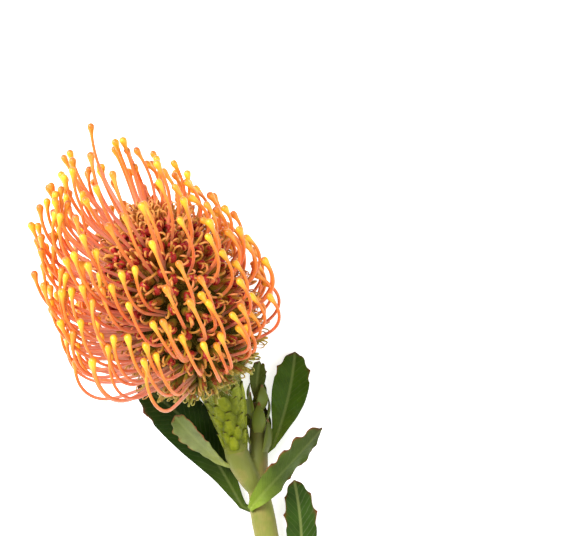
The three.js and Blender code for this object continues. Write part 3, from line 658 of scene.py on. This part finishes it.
stalk_handles = [
    STALK_FOOT, STALK_FOOT + STALK_FOOT_AHEAD * STALK_HANDLE,
    stalk_top - HEAD_AXIS * STALK_HANDLE, stalk_top,
]
along_stalk = np.linspace(0, 1, 60)
points, ahead = bent(stalk_handles, along_stalk)
stalk_length = np.linalg.norm(np.diff(points, axis=0), axis=1).sum()
stalk_growth = Growth()
# The skin under the scales is marked low, so it takes the dark painted shade that shows in the gaps
# between them.
stalk_growth.add(
    round_rings(
        points, ahead, sample(STALK_RADII, along_stalk) * SCALE_BED, STALK_SIDES, RIGHT
    ),
    ridge=0.25, point=0.0, wood=0.6 * (1 - smooth_step(along_stalk, 0.08, 0.25)),
)


def share(i, k):
    """A repeatable random share from 0 to 1 for item i, stream k."""
    v = math.sin(i * 12.9898 + k * 78.233) * 43758.5453
    return v - math.floor(v)


def jitter(i, k):
    """The same from -0.5 to 0.5."""
    return share(i, k) - 0.5


def on_stalk(shares, turns, lifts):
    """Points lifted off the stalk's skin at shares of its length and turns round it."""
    centre, axis = bent(stalk_handles, np.clip(shares, 0, 1))
    side = unit(RIGHT - axis * axis[:, :1])
    normal = np.cross(axis, side)
    radius = sample(STALK_RADII, np.clip(shares, 0, 1))[:, None] + lifts
    spoke = np.cos(turns)[..., None] * side[:, None] + np.sin(turns)[..., None] * normal[:, None]
    return centre[:, None] + radius[..., None] * spoke


for i in range(BRACTS):
    t = BRACTS_FROM + (BRACTS_TO - BRACTS_FROM) * (i + 0.5) / BRACTS
    grow = 0.8 + 0.45 * t
    s = np.linspace(0, 1, BRACT_ROWS)
    v = np.linspace(-1, 1, BRACT_COLUMNS)[None, :]
    along = -BRACT_SUNK + (BRACT_LENGTH + 1.6 * jitter(i, 12)) * s
    shares = t + along * grow / stalk_length
    # Half its width as an angle round the stalk, and its crest over the stalk's skin.
    spread = (0.56 + 0.1 * jitter(i, 13)) * np.sqrt(np.clip(1 - ((s - 0.36) / 0.64) ** 2, 0, 1))
    spread = spread * (1 - 0.45 * s) + 0.02
    turns = i * GOLDEN_ANGLE + jitter(i, 11) * 0.3 + spread[:, None] * v
    crest = grow * (0.42 + 0.32 * share(i, 14)) * np.sin(math.pi * (0.12 + 0.62 * s)) - 0.1
    outer = crest[:, None] * (1 - 0.6 * v**2) - 0.35 * v**2 * (1 - 0.4 * s[:, None])
    outer = outer + 0.45 * smooth_step(s, 0.8, 1)[:, None]
    inner = np.minimum(outer - 0.5, 0.3 * s[:, None])
    # Each scale is marked high on its crest and low at its edges, where its colour darkens as
    # painted shade.
    stalk_growth.add(
        both_faces(on_stalk(shares, turns, outer), on_stalk(shares, turns, inner)),
        ridge=both_faces(np.clip(0.4 + 0.7 * (outer / grow), 0, 1)),
        point=smooth_step(s, 0.88, 0.99), wood=0.0,
    )

# Fleshy green scales, grown: bright yellow-green on their crowns, darkening to olive where they
# meet, the dark there being painted shade in the gaps, with a brown point, and woody at the
# stalk's foot. Their skin is waxy and lumpy, in lumps of 1.5 mm.
green_scale, tree = new_finish("fleshy_green_scale")
spot = node(tree, "TexCoord")
ridge, point, wood = [
    node(tree, "Attribute", attribute_name=mark) for mark in ("ridge", "point", "wood")
]
lumps = node(tree, "TexNoise", {"Scale": 650.0, "Detail": 4.0}, {"Vector": spot})
crown = node(tree, "Math", {1: 0.5}, {0: lumps, 2: ridge}, operation="MULTIPLY_ADD")
scale_tone_and_shade = node(
    tree, "ValToRGB", wires={"Fac": crown},
    stops=[(0.25, "#343A02"), (0.5, "#545C04"), (0.8, "#707A0A"), (1.0, "#8E961C")],
)
woody_tone = node(tree, "Mix", {OVER: "#868A38"}, {BY: wood, UNDER: scale_tone_and_shade})
pointed = node(tree, "Mix", {OVER: "#2B1A0E"}, {BY: point, UNDER: woody_tone})
lump_bump = node(tree, "Bump", {"Strength": 0.9, "Distance": 0.0005}, {"Height": lumps})
node(
    tree, "BsdfPrincipled",
    {"Roughness": 0.42, "IOR": 1.45, "Specular IOR Level": 0.22, "Subsurface Weight": 0.1,
     "Subsurface Radius": (0.0012, 0.0014, 0.0004), "Subsurface Scale": 1.0},
    {"Base Color": pointed, "Normal": lump_bump},
)
set_on_root("stalk_scales", stalk_growth, green_scale, "stalk")

# The cone of the head: solid woody receptacle, felted with short hair, that every floret grows
# from. Only its felt shows, deep between the florets, and its dark colour there is painted shade.
# It bends a little to the right.
HEAD_BEND, HEAD_BEND_LENGTH = math.radians(8), 80
CORE_PROFILE = [
    (0, 0), (9, 0), (14.5, 5), (18, 15), (19.5, 30), (19, 46), (15.5, 58), (8.5, 65.5), (0, 68),
]
CORE_STEPS, CORE_SIDES = 64, 72
HEAD_X = np.array([math.cos(HEAD_LEAN), math.sin(HEAD_LEAN), 0])
HEAD_TURN = np.array([HEAD_X, np.cross(HEAD_AXIS, HEAD_X), HEAD_AXIS])
core_radii = [r for r, _ in CORE_PROFILE]
core_heights = [z for _, z in CORE_PROFILE]


def bend_head(p):
    """Bends the straight head so that its axis turns towards its own right as it rises."""
    curve = HEAD_BEND / HEAD_BEND_LENGTH
    z = np.clip(p[..., 2], 0, HEAD_BEND_LENGTH)
    angle, beyond = curve * z, p[..., 2] - z
    return np.stack([
        (1 - np.cos(angle)) / curve + beyond * np.sin(angle) + p[..., 0] * np.cos(angle),
        p[..., 1],
        np.sin(angle) / curve + beyond * np.cos(angle) - p[..., 0] * np.sin(angle),
    ], axis=-1)


def on_drawing(p):
    """Points of the head's own frame, Z along its axis, as places on the drawing."""
    return p @ HEAD_TURN + HEAD_BASE


v = np.linspace(0.02, 0.995, CORE_STEPS)[:, None]
azimuths = np.linspace(0, 2 * math.pi, CORE_SIDES, endpoint=False)[None, :]
lumpy = 0.9 + 0.05 * np.sin(azimuths * 13 + v * 60) * np.sin(azimuths * 8 - v * 75)
radii, heights = sample(core_radii, v) * lumpy, sample(core_heights, v) * np.ones_like(azimuths)
core = np.stack([radii * np.cos(azimuths), radii * np.sin(azimuths), heights], axis=-1)
core_growth = Growth()
core_growth.add(on_drawing(bend_head(core)), high=smooth_step(v, 0.55, 0.95))

# Woody felt, grown: brown-olive down over dark wood, in tufts about 0.6 mm across, drawn darker
# still as painted shade deep between the florets, and lighter and rustier towards the top, where
# painted light lifts the upper gaps.
painted_shade_felt, tree = new_finish("receptacle_felt_painted_shade")
spot = node(tree, "TexCoord")
tufts = node(tree, "TexNoise", {"Scale": 1600.0, "Detail": 5.0}, {"Vector": spot})
high = node(tree, "Attribute", attribute_name="high")
low_felt_shade = node(
    tree, "ValToRGB", wires={"Fac": tufts},
    stops=[(0.3, "#2C280A"), (0.55, "#4C460E"), (0.75, "#70661A")],
)
# Upper felt: lighter and rustier, painted light for the gaps high on the head.
high_felt_lit = node(
    tree, "ValToRGB", wires={"Fac": tufts},
    stops=[(0.3, "#6E3C12"), (0.55, "#94561C"), (0.75, "#B07428")],
)
felt_tone = node(tree, "Mix", None, {BY: high, UNDER: low_felt_shade, OVER: high_felt_lit})
tuft_bump = node(tree, "Bump", {"Strength": 0.9, "Distance": 0.0006}, {"Height": tufts})
node(
    tree, "BsdfPrincipled", {"Roughness": 0.85, "Specular IOR Level": 0.1},
    {"Base Color": felt_tone, "Normal": tuft_bump},
)
set_on_root("receptacle", core_growth, painted_shade_felt, "flower_head")

# The florets: some 300 packed in one spiral, each a hairy olive tube that has split at its top.
# Its middle lobes stay together and roll back as a maroon curl with pale edges, and thin hooks
# curl off beside them. All are grown fast to the cone, with its felt standing between them.
FLORETS, FLORET_REACH = 310, 6.5
FLORETS_FROM, FLORETS_UP = 0.2, 0.77  # as shares of the way up the cone
HOOKS_TOWARD = (190, 70, -50)  # in degrees, from across the floret towards up the cone
CURL_HAIRS, FELT_HAIRS = 10, 1300
FELT_FROM, FELT_UP = 0.1, 0.88  # as shares of the way up the cone
FELT_TURN = 1.7  # golden angles from one felt hair to the next
# Half widths of the parts of a floret, from root to tip.
TUBE_RADII = [1.8, 1.9, 1.7, 1.45, 1.2, 0.6]
CURL_RADII = [0.9, 1.0, 1.3, 1.5, 1.6, 1.55, 1.3, 0.6]
EDGE_RADII = [0.5, 0.5, 0.46, 0.44, 0.46, 0.5, 0.42, 0.15]
HOOK_RADII = [0.7, 0.68, 0.62, 0.56, 0.5, 0.46, 0.36, 0.12]
HAIR_WIDTH, HAIR_DROOP = 0.11, 0.35  # the droop is a share of the hair's length
OFF_LINE = np.array([0.013, 0.017, 0.011])  # keeps the droop from lying in line with the hair


def on_core(share_up, azimuth):
    """A point on the cone's skin, and the ways out of it, up it and across it."""
    r, z = float(sample(core_radii, share_up)), float(sample(core_heights, share_up))
    further = share_up + 0.02
    r2, z2 = sample(core_radii, further), sample(core_heights, further)
    slope = math.atan2(r - r2, z2 - z)
    ray = np.array([math.cos(azimuth), math.sin(azimuth), 0])
    point = ray * r + (0, 0, z)
    outward = ray * math.cos(slope) + (0, 0, math.sin(slope))
    upward = -ray * math.sin(slope) + (0, 0, math.cos(slope))
    return point, outward, upward, np.array([-math.sin(azimuth), math.cos(azimuth), 0])


def add_hair(growth, root, way, length, droop, **marks):
    """One stiff white hair: a thin three sided strip that droops to its tip."""
    s = np.array([0, 0.35, 0.7, 1.0])
    line = root + way * (s * length)[:, None] + droop * (s**2 * length * HAIR_DROOP)[:, None]
    ahead = unit(np.gradient(line, axis=0))
    across = unit(np.cross(way, droop + OFF_LINE))
    rings = round_rings(line, ahead, HAIR_WIDTH * 0.5 * (1.05 - s), 3, across)
    growth.add(on_drawing(bend_head(rings)), **marks)


def add_strip(growth, points, radii, across, steps, sides, flatness, widen=1, **marks):
    """One part of a floret: a flattened rod through points of the head's own frame, as wide as
    radii times widen. Gives back the line that it follows."""
    s = np.linspace(0, 1, steps)
    line, ahead = through(points, s)
    rings = round_rings(line, ahead, sample(radii, s) * widen, sides, across, flatness)
    growth.add(on_drawing(bend_head(rings)), ripe=s, **marks)
    return line


tube_growth, curl_growth, hook_growth, hair_growth = Growth(), Growth(), Growth(), Growth()
for i in range(FLORETS):
    u, azimuth = (i + 0.5) / FLORETS, i * GOLDEN_ANGLE + 0.3
    point, outward, upward, across = on_core(FLORETS_FROM + FLORETS_UP * u**0.9, azimuth)
    lean = 0.15 + 0.3 * share(i, 6)
    side = jitter(i, 7) * 2.4
    reach = FLORET_REACH * (0.85 + 0.35 * share(i, 8)) * min(1, 0.45 + 3 * u)
    green = max(0.0, 1 - 3.5 * u)  # the lowest rows stay pale green
    high = float(smooth_step(u, 0.4, 0.95))  # and the upper ones turn orange, partly ripe and partly painted light

    tube = points_off(point, (outward, upward, across), [
        (-2.5, 0, 0), (reach * 0.3, reach * lean * 0.3, 0),
        (reach * 0.6, reach * lean * 0.8, side * 0.2),
        (reach * 0.74, reach * lean * 0.7, side * 0.3),
    ])
    mouth = add_strip(
        tube_growth, tube, TUBE_RADII, across, steps=12, sides=12, flatness=0.85,
        tone=share(i, 21), green=green, high=high,
    )[-3]

    # The maroon curl and the pale edge on each side of it.
    turn = math.radians(-90 + jitter(i, 22) * 90)
    away = across * math.cos(turn) + upward * math.sin(turn)
    flank = np.cross(away, outward)
    rise = reach * (0.36 + 0.14 * share(i, 23))
    roll = (1.7 + 0.6 * share(i, 24)) * (1 - 0.4 * green)
    curl = points_off(mouth, (outward, away), [
        (-1.2, 0), (rise * 0.7, 0.1), (rise, roll * 0.45), (rise * 0.85, roll),
        (rise * 0.25, roll * 1.3), (-0.6, roll),
    ])
    add_strip(
        curl_growth, curl, CURL_RADII, flank, steps=12, sides=8, flatness=0.62,
        widen=1 - 0.2 * green, tone=share(i, 25), limb=1, green=0.35 * green, high=high,
    )
    for h in (-1, 1):
        off = flank * h * (1.0 + 0.5 * share(i, 27 + h)) * (1 - 0.25 * green)
        wander = away * jitter(i, 30 + h) * 1.8 + outward * (0.5 + 0.9 * share(i, 33 + h))
        spread = np.linspace(0.3, 1, len(curl))[:, None]
        add_strip(
            curl_growth, curl + spread * off + spread**2 * wander, EDGE_RADII, flank,
            steps=12, sides=5, flatness=0.7,
            tone=share(i, 36 + h), limb=0, green=green, high=high,
        )

    # The thin hooks, three round the mouth.
    for h, toward in enumerate(HOOKS_TOWARD):
        turn = math.radians(toward + jitter(i, 40 + 12 * h) * 150)
        away = across * math.cos(turn) + upward * math.sin(turn)
        tall = reach * (0.65 + 0.55 * share(i, 42 + 12 * h)) + 1.2 * green
        wide = (1.5 + 2.0 * share(i, 44 + 12 * h)) * (1 - 0.5 * green)
        hook = points_off(mouth, (outward, away), [
            (-1.5, 0.6), (tall * 0.45, 0.9), (tall * 0.9, wide * 0.7), (tall, wide * 1.1),
            (tall * 0.8, wide * 1.5), (tall * 0.5, wide * 1.4),
        ])
        add_strip(
            hook_growth, hook, HOOK_RADII, np.cross(away, outward), steps=14, sides=6,
            flatness=0.55, tone=share(i, 46 + 12 * h), limb=0, green=green, high=high,
        )

    # White hairs on the curl and the tube's mouth.
    for h in range(CURL_HAIRS):
        swing = 2 * math.pi * share(i, 60 + h)
        way = unit(outward * 1.2 + across * math.cos(swing) + upward * math.sin(swing))
        root = mouth + outward * rise * share(i, 74 + h) + (way - outward * 0.7) * 1.3
        length = 1.0 + 1.4 * share(i, 88 + h)
        add_hair(hair_growth, root, way, length, -upward, tone=share(i, 102 + h))

# Longer hairs of the felt, between the florets.
for i in range(FELT_HAIRS):
    u = (i + 0.5) / FELT_HAIRS
    point, outward, upward, across = on_core(FELT_FROM + FELT_UP * u, i * GOLDEN_ANGLE * FELT_TURN)
    way = unit(outward + across * jitter(i, 301) * 1.6 + upward * jitter(i, 302) * 1.6)
    root = point - outward * 1.5
    add_hair(hair_growth, root, way, 4.0 + 2.6 * share(i, 303), -upward, tone=0.5 * share(i, 304))

# Hairy floral tube, grown: soft and olive brown, greener low on the head and orange at its top,
# where the orange is partly painted light. A close nap dulls it, mottled 0.7 mm across.
hairy_tube, tree = new_finish("hairy_floral_tube")
spot = node(tree, "TexCoord")
ripe, tone, green, high = [
    node(tree, "Attribute", attribute_name=mark) for mark in ("ripe", "tone", "green", "high")
]
nap = node(tree, "TexNoise", {"Scale": 1500.0, "Detail": 4.0}, {"Vector": spot})
stage = node(tree, "Math", {1: 0.4}, {0: nap, 2: ripe}, operation="MULTIPLY_ADD")
staged = node(tree, "Math", {1: 0.3}, {0: tone, 2: stage}, operation="MULTIPLY_ADD")
tube_tone = node(
    tree, "ValToRGB", wires={"Fac": staged},
    stops=[(0.2, "#5C5008"), (0.55, "#8C7A18"), (0.85, "#AC8E2C"), (1.0, "#B0702A")],
)
# Up the head the tube warms to orange, partly its own colour and partly painted light over the
# shade between the pins.
high_light_share = node(tree, "Math", {1: 0.6}, {0: high}, operation="MULTIPLY")
tube_warm_lit = node(tree, "Mix", {OVER: "#C07430"}, {BY: high_light_share, UNDER: tube_tone})
tube_green = node(tree, "Mix", {OVER: "#8C9238"}, {BY: green, UNDER: tube_warm_lit})
mouth_share = node(
    tree, "MapRange", {"From Min": 0.66, "From Max": 0.92, "To Max": 0.85}, {"Value": ripe}
)
tube_mouthed = node(tree, "Mix", {OVER: "#8E2C1E"}, {BY: mouth_share, UNDER: tube_green})
nap_bump = node(tree, "Bump", {"Strength": 0.7, "Distance": 0.0003}, {"Height": nap})
node(
    tree, "BsdfPrincipled",
    {"Roughness": 0.6, "IOR": 1.45, "Specular IOR Level": 0.2, "Sheen Weight": 0.15,
     "Sheen Roughness": 0.4, "Sheen Tint": "#F2DC9C"},
    {"Base Color": tube_mouthed, "Normal": nap_bump},
)
set_on_root("floret_tubes", tube_growth, hairy_tube, "flower_head")

# Curled lobes, grown: the rolled back ones are fleshy and maroon, the edges and free hooks thin,
# olive to tan and pinkish at their ends. They are glossy on the bend, with fibres drawn at 0.4 mm.
curled_lobe, tree = new_finish("curled_floral_lobe")
spot = node(tree, "TexCoord")
ripe, tone, limb, green, high = [
    node(tree, "Attribute", attribute_name=mark)
    for mark in ("ripe", "tone", "limb", "green", "high")
]
fibre = node(tree, "TexNoise", {"Scale": 2400.0, "Detail": 3.0}, {"Vector": spot})
stage = node(tree, "Math", {1: 0.3}, {0: tone, 2: ripe}, operation="MULTIPLY_ADD")
tan = node(
    tree, "ValToRGB", wires={"Fac": stage},
    stops=[(0.1, "#8A7A10"), (0.4, "#B08A26"), (0.75, "#CA903E"), (1.0, "#E08650")],
)
maroon = node(
    tree, "ValToRGB", wires={"Fac": fibre},
    stops=[(0.3, "#8A1618"), (0.6, "#B52E26"), (0.8, "#D0604E")],
)
limb_share = node(
    tree, "MapRange", {"From Min": 0.16, "From Max": 0.36}, {"Value": ripe, "To Max": limb}
)
# Up the head the edges and hooks warm to orange, partly their own colour and partly painted light
# over the shade between the pins.
high_light_share = node(tree, "Math", {1: 0.45}, {0: high}, operation="MULTIPLY")
warm_lit_tan = node(tree, "Mix", {OVER: "#DC944C"}, {BY: high_light_share, UNDER: tan})
limbed = node(tree, "Mix", None, {BY: limb_share, UNDER: warm_lit_tan, OVER: maroon})
green_share = node(tree, "Math", {1: 0.9}, {0: green}, operation="MULTIPLY")
greener = node(tree, "Mix", {OVER: "#9CA846"}, {BY: green_share, UNDER: limbed})
fibre_bump = node(tree, "Bump", {"Strength": 0.5, "Distance": 0.00015}, {"Height": fibre})
node(
    tree, "BsdfPrincipled", {"Roughness": 0.42, "IOR": 1.45, "Specular IOR Level": 0.35},
    {"Base Color": greener, "Normal": fibre_bump},
)
set_on_root("floret_curls", curl_growth, curled_lobe, "flower_head")
set_on_root("floret_hooks", hook_growth, curled_lobe, "flower_head")

# The skirt: small pointed bracts, about three deep, that close the head's base, soft and green,
# with long white hairs on their edges. They press up against the lowest florets.
SKIRT, SKIRT_HAIRS = 66, 18
SKIRT_FROM, SKIRT_UP = 0.1, 0.13  # as shares of the way up the cone
SKIRT_RADII = [1.6, 1.9, 1.75, 1.3, 0.8, 0.15]
skirt_growth = Growth()
for i in range(SKIRT):
    row = i / SKIRT
    point, outward, upward, across = on_core(SKIRT_FROM + SKIRT_UP * row, i * GOLDEN_ANGLE)
    tall = 4.6 + 2.2 * share(i, 120)
    tip_out = 1.7 + 1.4 * share(i, 121)
    bract = points_off(point, (outward, upward, across), [
        (-0.8, -1.2, 0), (0.7, tall * 0.3, 0), (1.5 + 0.5 * row, tall * 0.7, 0),
        (tip_out, tall, jitter(i, 122) * 1.2),
    ])
    line = add_strip(
        skirt_growth, bract, SKIRT_RADII, across, steps=12, sides=10, flatness=0.32,
        tone=share(i, 123),
    )
    for h in range(SKIRT_HAIRS):
        up_bract = 0.2 + 0.75 * share(i, 130 + h)
        root = line[int(up_bract * 11)] + across * jitter(i, 150 + h) * 2.6 + outward * 0.3
        way = unit(outward * 0.7 + upward * 0.6 + across * jitter(i, 170 + h) * 2)
        length = 1.8 + 1.8 * share(i, 190 + h)
        add_hair(hair_growth, root, way, length, -upward, tone=0.5 + 0.5 * share(i, 210 + h))

# Soft green bract, grown: pale green with a pinkish tip and a dull downy skin, specked at 0.7 mm.
downy_bract, tree = new_finish("downy_green_bract")
spot = node(tree, "TexCoord")
ripe = node(tree, "Attribute", attribute_name="ripe")
down = node(tree, "TexNoise", {"Scale": 1400.0, "Detail": 4.0}, {"Vector": spot})
stage = node(tree, "Math", {1: 0.25}, {0: down, 2: ripe}, operation="MULTIPLY_ADD")
bract_tone = node(
    tree, "ValToRGB", wires={"Fac": stage},
    stops=[(0.1, "#737C1E"), (0.5, "#959E3C"), (0.85, "#B4B660"), (1.0, "#B08A50")],
)
down_bump = node(tree, "Bump", {"Strength": 0.6, "Distance": 0.0003}, {"Height": down})
node(
    tree, "BsdfPrincipled",
    {"Roughness": 0.65, "IOR": 1.45, "Specular IOR Level": 0.2, "Sheen Weight": 0.15},
    {"Base Color": bract_tone, "Normal": down_bump},
)
set_on_root("skirt_bracts", skirt_growth, downy_bract, "flower_head")

# White plant hair, grown: clear hollow bristles that catch the light, some straw coloured. Real
# ones are under 0.05 mm thick, so they are drawn at HAIR_WIDTH to show.
plant_hair, tree = new_finish("white_plant_hair")
tone = node(tree, "Attribute", attribute_name="tone")
straw = node(
    tree, "ValToRGB", wires={"Fac": tone},
    stops=[(0.0, "#7A6414"), (0.45, "#A8903C"), (0.75, "#DCCB94"), (1.0, "#F0E4D0")],
)
node(tree, "BsdfPrincipled", {"Roughness": 0.35, "IOR": 1.5}, {"Base Color": straw})
set_on_root("floret_hairs", hair_growth, plant_hair, "flower_head")

# The pins: the florets' styles, firm waxy rods that leave the head straight, turn up and in over
# their outer half, and end in a swollen yellow pollen presenter.
PINS, BETWEEN_PINS, LEFT_PINS, LOW_RIGHT_PINS = 112, 122, 52, 5
NEAR_SIDE = -0.2  # where the sine of an azimuth is below this, a pin stands away from the table
HELD_BACK = 0.62  # there, the share of the pins between that their florets still hold
LEFT_MIDDLE, LEFT_SPAN, LEFT_TOP = 182, 130, 0.85  # degrees, degrees, and how far up the spiral
LOW_RIGHT_FIRST, LOW_RIGHT_STEP = -74, 14  # degrees
RECEPTACLE_BOTTOM, RECEPTACLE_TOP, RECEPTACLE_RADIUS = 6, 54, 7.5
PIN_LENGTH, PIN_LENGTH_SPREAD, PIN_LENGTH_TO_RIGHT = 52, 6, -0.14
PIN_LIFT, PIN_STRAIGHT_SHARE, PIN_FINE_STEPS, PIN_SIDES = 0.95, 0.5, 30, 8
PIN_TIP_ANGLE, PIN_TIP_SPREAD = (-32, -12), 24  # off the head's axis, lowest and highest pin
PIN_START_SPREAD, PIN_SWAY = 9, 0.2  # in degrees, and in radians round the head
PIN_BURIED = 0.14  # of a pin's length, inside the cone and not drawn
SHAFT_STEPS, SHAFT_END = 19, 11  # the rings of its shaft, down to this far from its tip
BETWEEN_TURN = 3.03  # golden angles from one pin between the others to the next


def pin_line(u, azimuth, i, length_share, unruly):
    """The middle line of the pin at share u of its spiral, on the drawing, and its length."""
    height = RECEPTACLE_BOTTOM + (RECEPTACLE_TOP - RECEPTACLE_BOTTOM) * u
    start = math.acos(0.23 + 0.5 * u + 0.24 * u**3) + math.radians(jitter(i, 2) * PIN_START_SPREAD)
    end = math.radians(
        PIN_TIP_ANGLE[0] + (PIN_TIP_ANGLE[1] - PIN_TIP_ANGLE[0]) * u
        + jitter(i, 3) * PIN_TIP_SPREAD * unruly
    )
    length = PIN_LENGTH + jitter(i, 4) * PIN_LENGTH_SPREAD
    length *= (1.03 + PIN_LENGTH_TO_RIGHT * math.cos(azimuth)) * length_share
    step = length / PIN_FINE_STEPS
    k = np.arange(PIN_FINE_STEPS + 1)
    turn = smooth_step((k + 0.5) / PIN_FINE_STEPS, PIN_STRAIGHT_SHARE, 1.04)
    theta = start + (end - start) * turn
    r = RECEPTACLE_RADIUS * (1 - 0.8 * u * u) + np.cumsum(np.sin(theta)) * step
    z = height + np.cumsum(np.cos(theta)) * step
    r, z = r - math.sin(theta[0]) * step, z - math.cos(theta[0]) * step
    angle = azimuth + PIN_SWAY * unruly * jitter(i, 5) * np.sin(2.2 * k / PIN_FINE_STEPS)
    line = on_drawing(bend_head(np.stack([r * np.cos(angle), r * np.sin(angle), z], axis=-1)))
    line[:, 2] = lift_above(line[:, 2], PIN_LIFT)
    return line, length


# Distance from the tip in millimetres, and the pin's radius there.
PIN_FORM = [
    (0.0, 0.3), (0.12, 0.62), (0.35, 0.98), (0.75, 1.26), (1.3, 1.4), (2.0, 1.35), (2.9, 1.1),
    (3.8, 0.87), (4.7, 0.74), (5.8, 0.67), (7.5, 0.62), (12.0, 0.62), (25.0, 0.66), (60.0, 0.7),
]
NEAR_TIP = [0, 0.12, 0.35, 0.75, 1.3, 2.0, 2.6, 3.2, 3.8, 4.4, 5.1, 6.0, 7.2, 9]
pin_growth = Growth()
for i in range(PINS + BETWEEN_PINS + LEFT_PINS + LOW_RIGHT_PINS):
    length_share, unruly = 0.9 + 0.08 * share(i, 242), 1.5
    if i < PINS:
        u, azimuth = (i + 0.5) / PINS, i * GOLDEN_ANGLE + jitter(i, 1) * 0.16
        length_share = unruly = 1.0
    elif i < PINS + BETWEEN_PINS:
        u = (i - PINS + 0.5) / BETWEEN_PINS
        azimuth = (i - PINS) * GOLDEN_ANGLE * BETWEEN_TURN + 1.1
        if math.sin(azimuth) < NEAR_SIDE and share(i, 246) < HELD_BACK:
            continue
        unruly = 2.0
    elif i < PINS + BETWEEN_PINS + LEFT_PINS:
        u = LEFT_TOP * (i - PINS - BETWEEN_PINS + 0.5) / LEFT_PINS
        azimuth = math.radians(LEFT_MIDDLE + jitter(i, 244) * LEFT_SPAN)
        length_share = 0.95 + 0.08 * share(i, 245)
    else:
        k = i - PINS - BETWEEN_PINS - LEFT_PINS
        u, azimuth = 0.01 + 0.02 * k, math.radians(LOW_RIGHT_FIRST + LOW_RIGHT_STEP * k)
        length_share = 0.8
    fine, length = pin_line(u, azimuth, i, length_share, unruly)
    shaft = np.linspace(length * (1 - PIN_BURIED), SHAFT_END, SHAFT_STEPS)
    from_tip = np.concatenate([shaft, NEAR_TIP[::-1]])
    points, ahead = evenly(fine, 1 - from_tip / length)
    across = np.array([-math.sin(azimuth), math.cos(azimuth), 0]) @ HEAD_TURN
    thick = np.interp(from_tip, *zip(*PIN_FORM))
    thick *= 0.92 + 0.16 * share(i, 240)
    pin_growth.add(
        round_rings(points, ahead, thick, PIN_SIDES, across), from_tip=from_tip,
        tone=share(i, 241), orange=float(share(i, 243) < 0.1 + 0.5 * u),
    )

# Waxy style, grown: firm orange flesh under a thin wax, paling to pink towards its root, with a
# bright yellow presenter dusted in pollen. The wax gives long soft lights along it.
waxy_style, tree = new_finish("waxy_orange_style")
spot = node(tree, "TexCoord")
from_tip, tone, orange = [
    node(tree, "Attribute", attribute_name=mark) for mark in ("from_tip", "tone", "orange")
]
cloud = node(tree, "TexNoise", {"Scale": 350.0, "Detail": 3.0}, {"Vector": spot})
shifted = node(tree, "Math", {1: 2.4}, {0: cloud, 2: from_tip}, operation="MULTIPLY_ADD")
down_pin = node(tree, "MapRange", {"From Max": 50.0}, {"Value": shifted})
yellow_knobbed = node(
    tree, "ValToRGB", wires={"Fac": down_pin},
    stops=[(0.02, "#BE6A1C"), (0.034, "#E69A22"), (0.05, "#FABE2A"), (0.08, "#FCC436"),
           (0.106, "#F9AA32"), (0.14, "#F2882E"), (0.32, "#EC7C36"), (0.44, "#E8804C"),
           (0.6, "#E69070"), (0.82, "#E0A088"), (0.98, "#D0A878")],
)
orange_knobbed = node(
    tree, "ValToRGB", wires={"Fac": down_pin},
    stops=[(0.02, "#A8541C"), (0.036, "#D97C22"), (0.06, "#F29C30"), (0.1, "#F8A83C"),
           (0.16, "#F28C32"), (0.32, "#EC7E38"), (0.44, "#E8824C"), (0.6, "#E69070"),
           (0.82, "#E0A088"), (0.98, "#D0A878")],
)
flesh_tone = node(tree, "Mix", None, {BY: orange, UNDER: yellow_knobbed, OVER: orange_knobbed})
hue_shift = node(tree, "MapRange", {"To Min": 0.492, "To Max": 0.508}, {"Value": tone})
cloud_shade = node(
    tree, "MapRange", {"From Min": 0.3, "From Max": 0.7, "To Min": 0.92, "To Max": 1.06},
    {"Value": cloud},
)
varied = node(
    tree, "HueSaturation", wires={"Color": flesh_tone, "Hue": hue_shift, "Value": cloud_shade}
)
pollen = node(tree, "TexNoise", {"Scale": 2600.0, "Detail": 3.0}, {"Vector": spot})
pollen_bump = node(tree, "Bump", {"Strength": 0.3, "Distance": 0.00012}, {"Height": pollen})
node(
    tree, "BsdfPrincipled",
    {"Roughness": 0.38, "IOR": 1.45, "Coat Weight": 0.12, "Coat Roughness": 0.3,
     "Subsurface Weight": 0.12, "Subsurface Radius": (0.001, 0.0006, 0.0003),
     "Subsurface Scale": 1.0}, {"Base Color": varied, "Normal": pollen_bump},
)
set_on_root("pins", pin_growth, waxy_style, "flower_head")
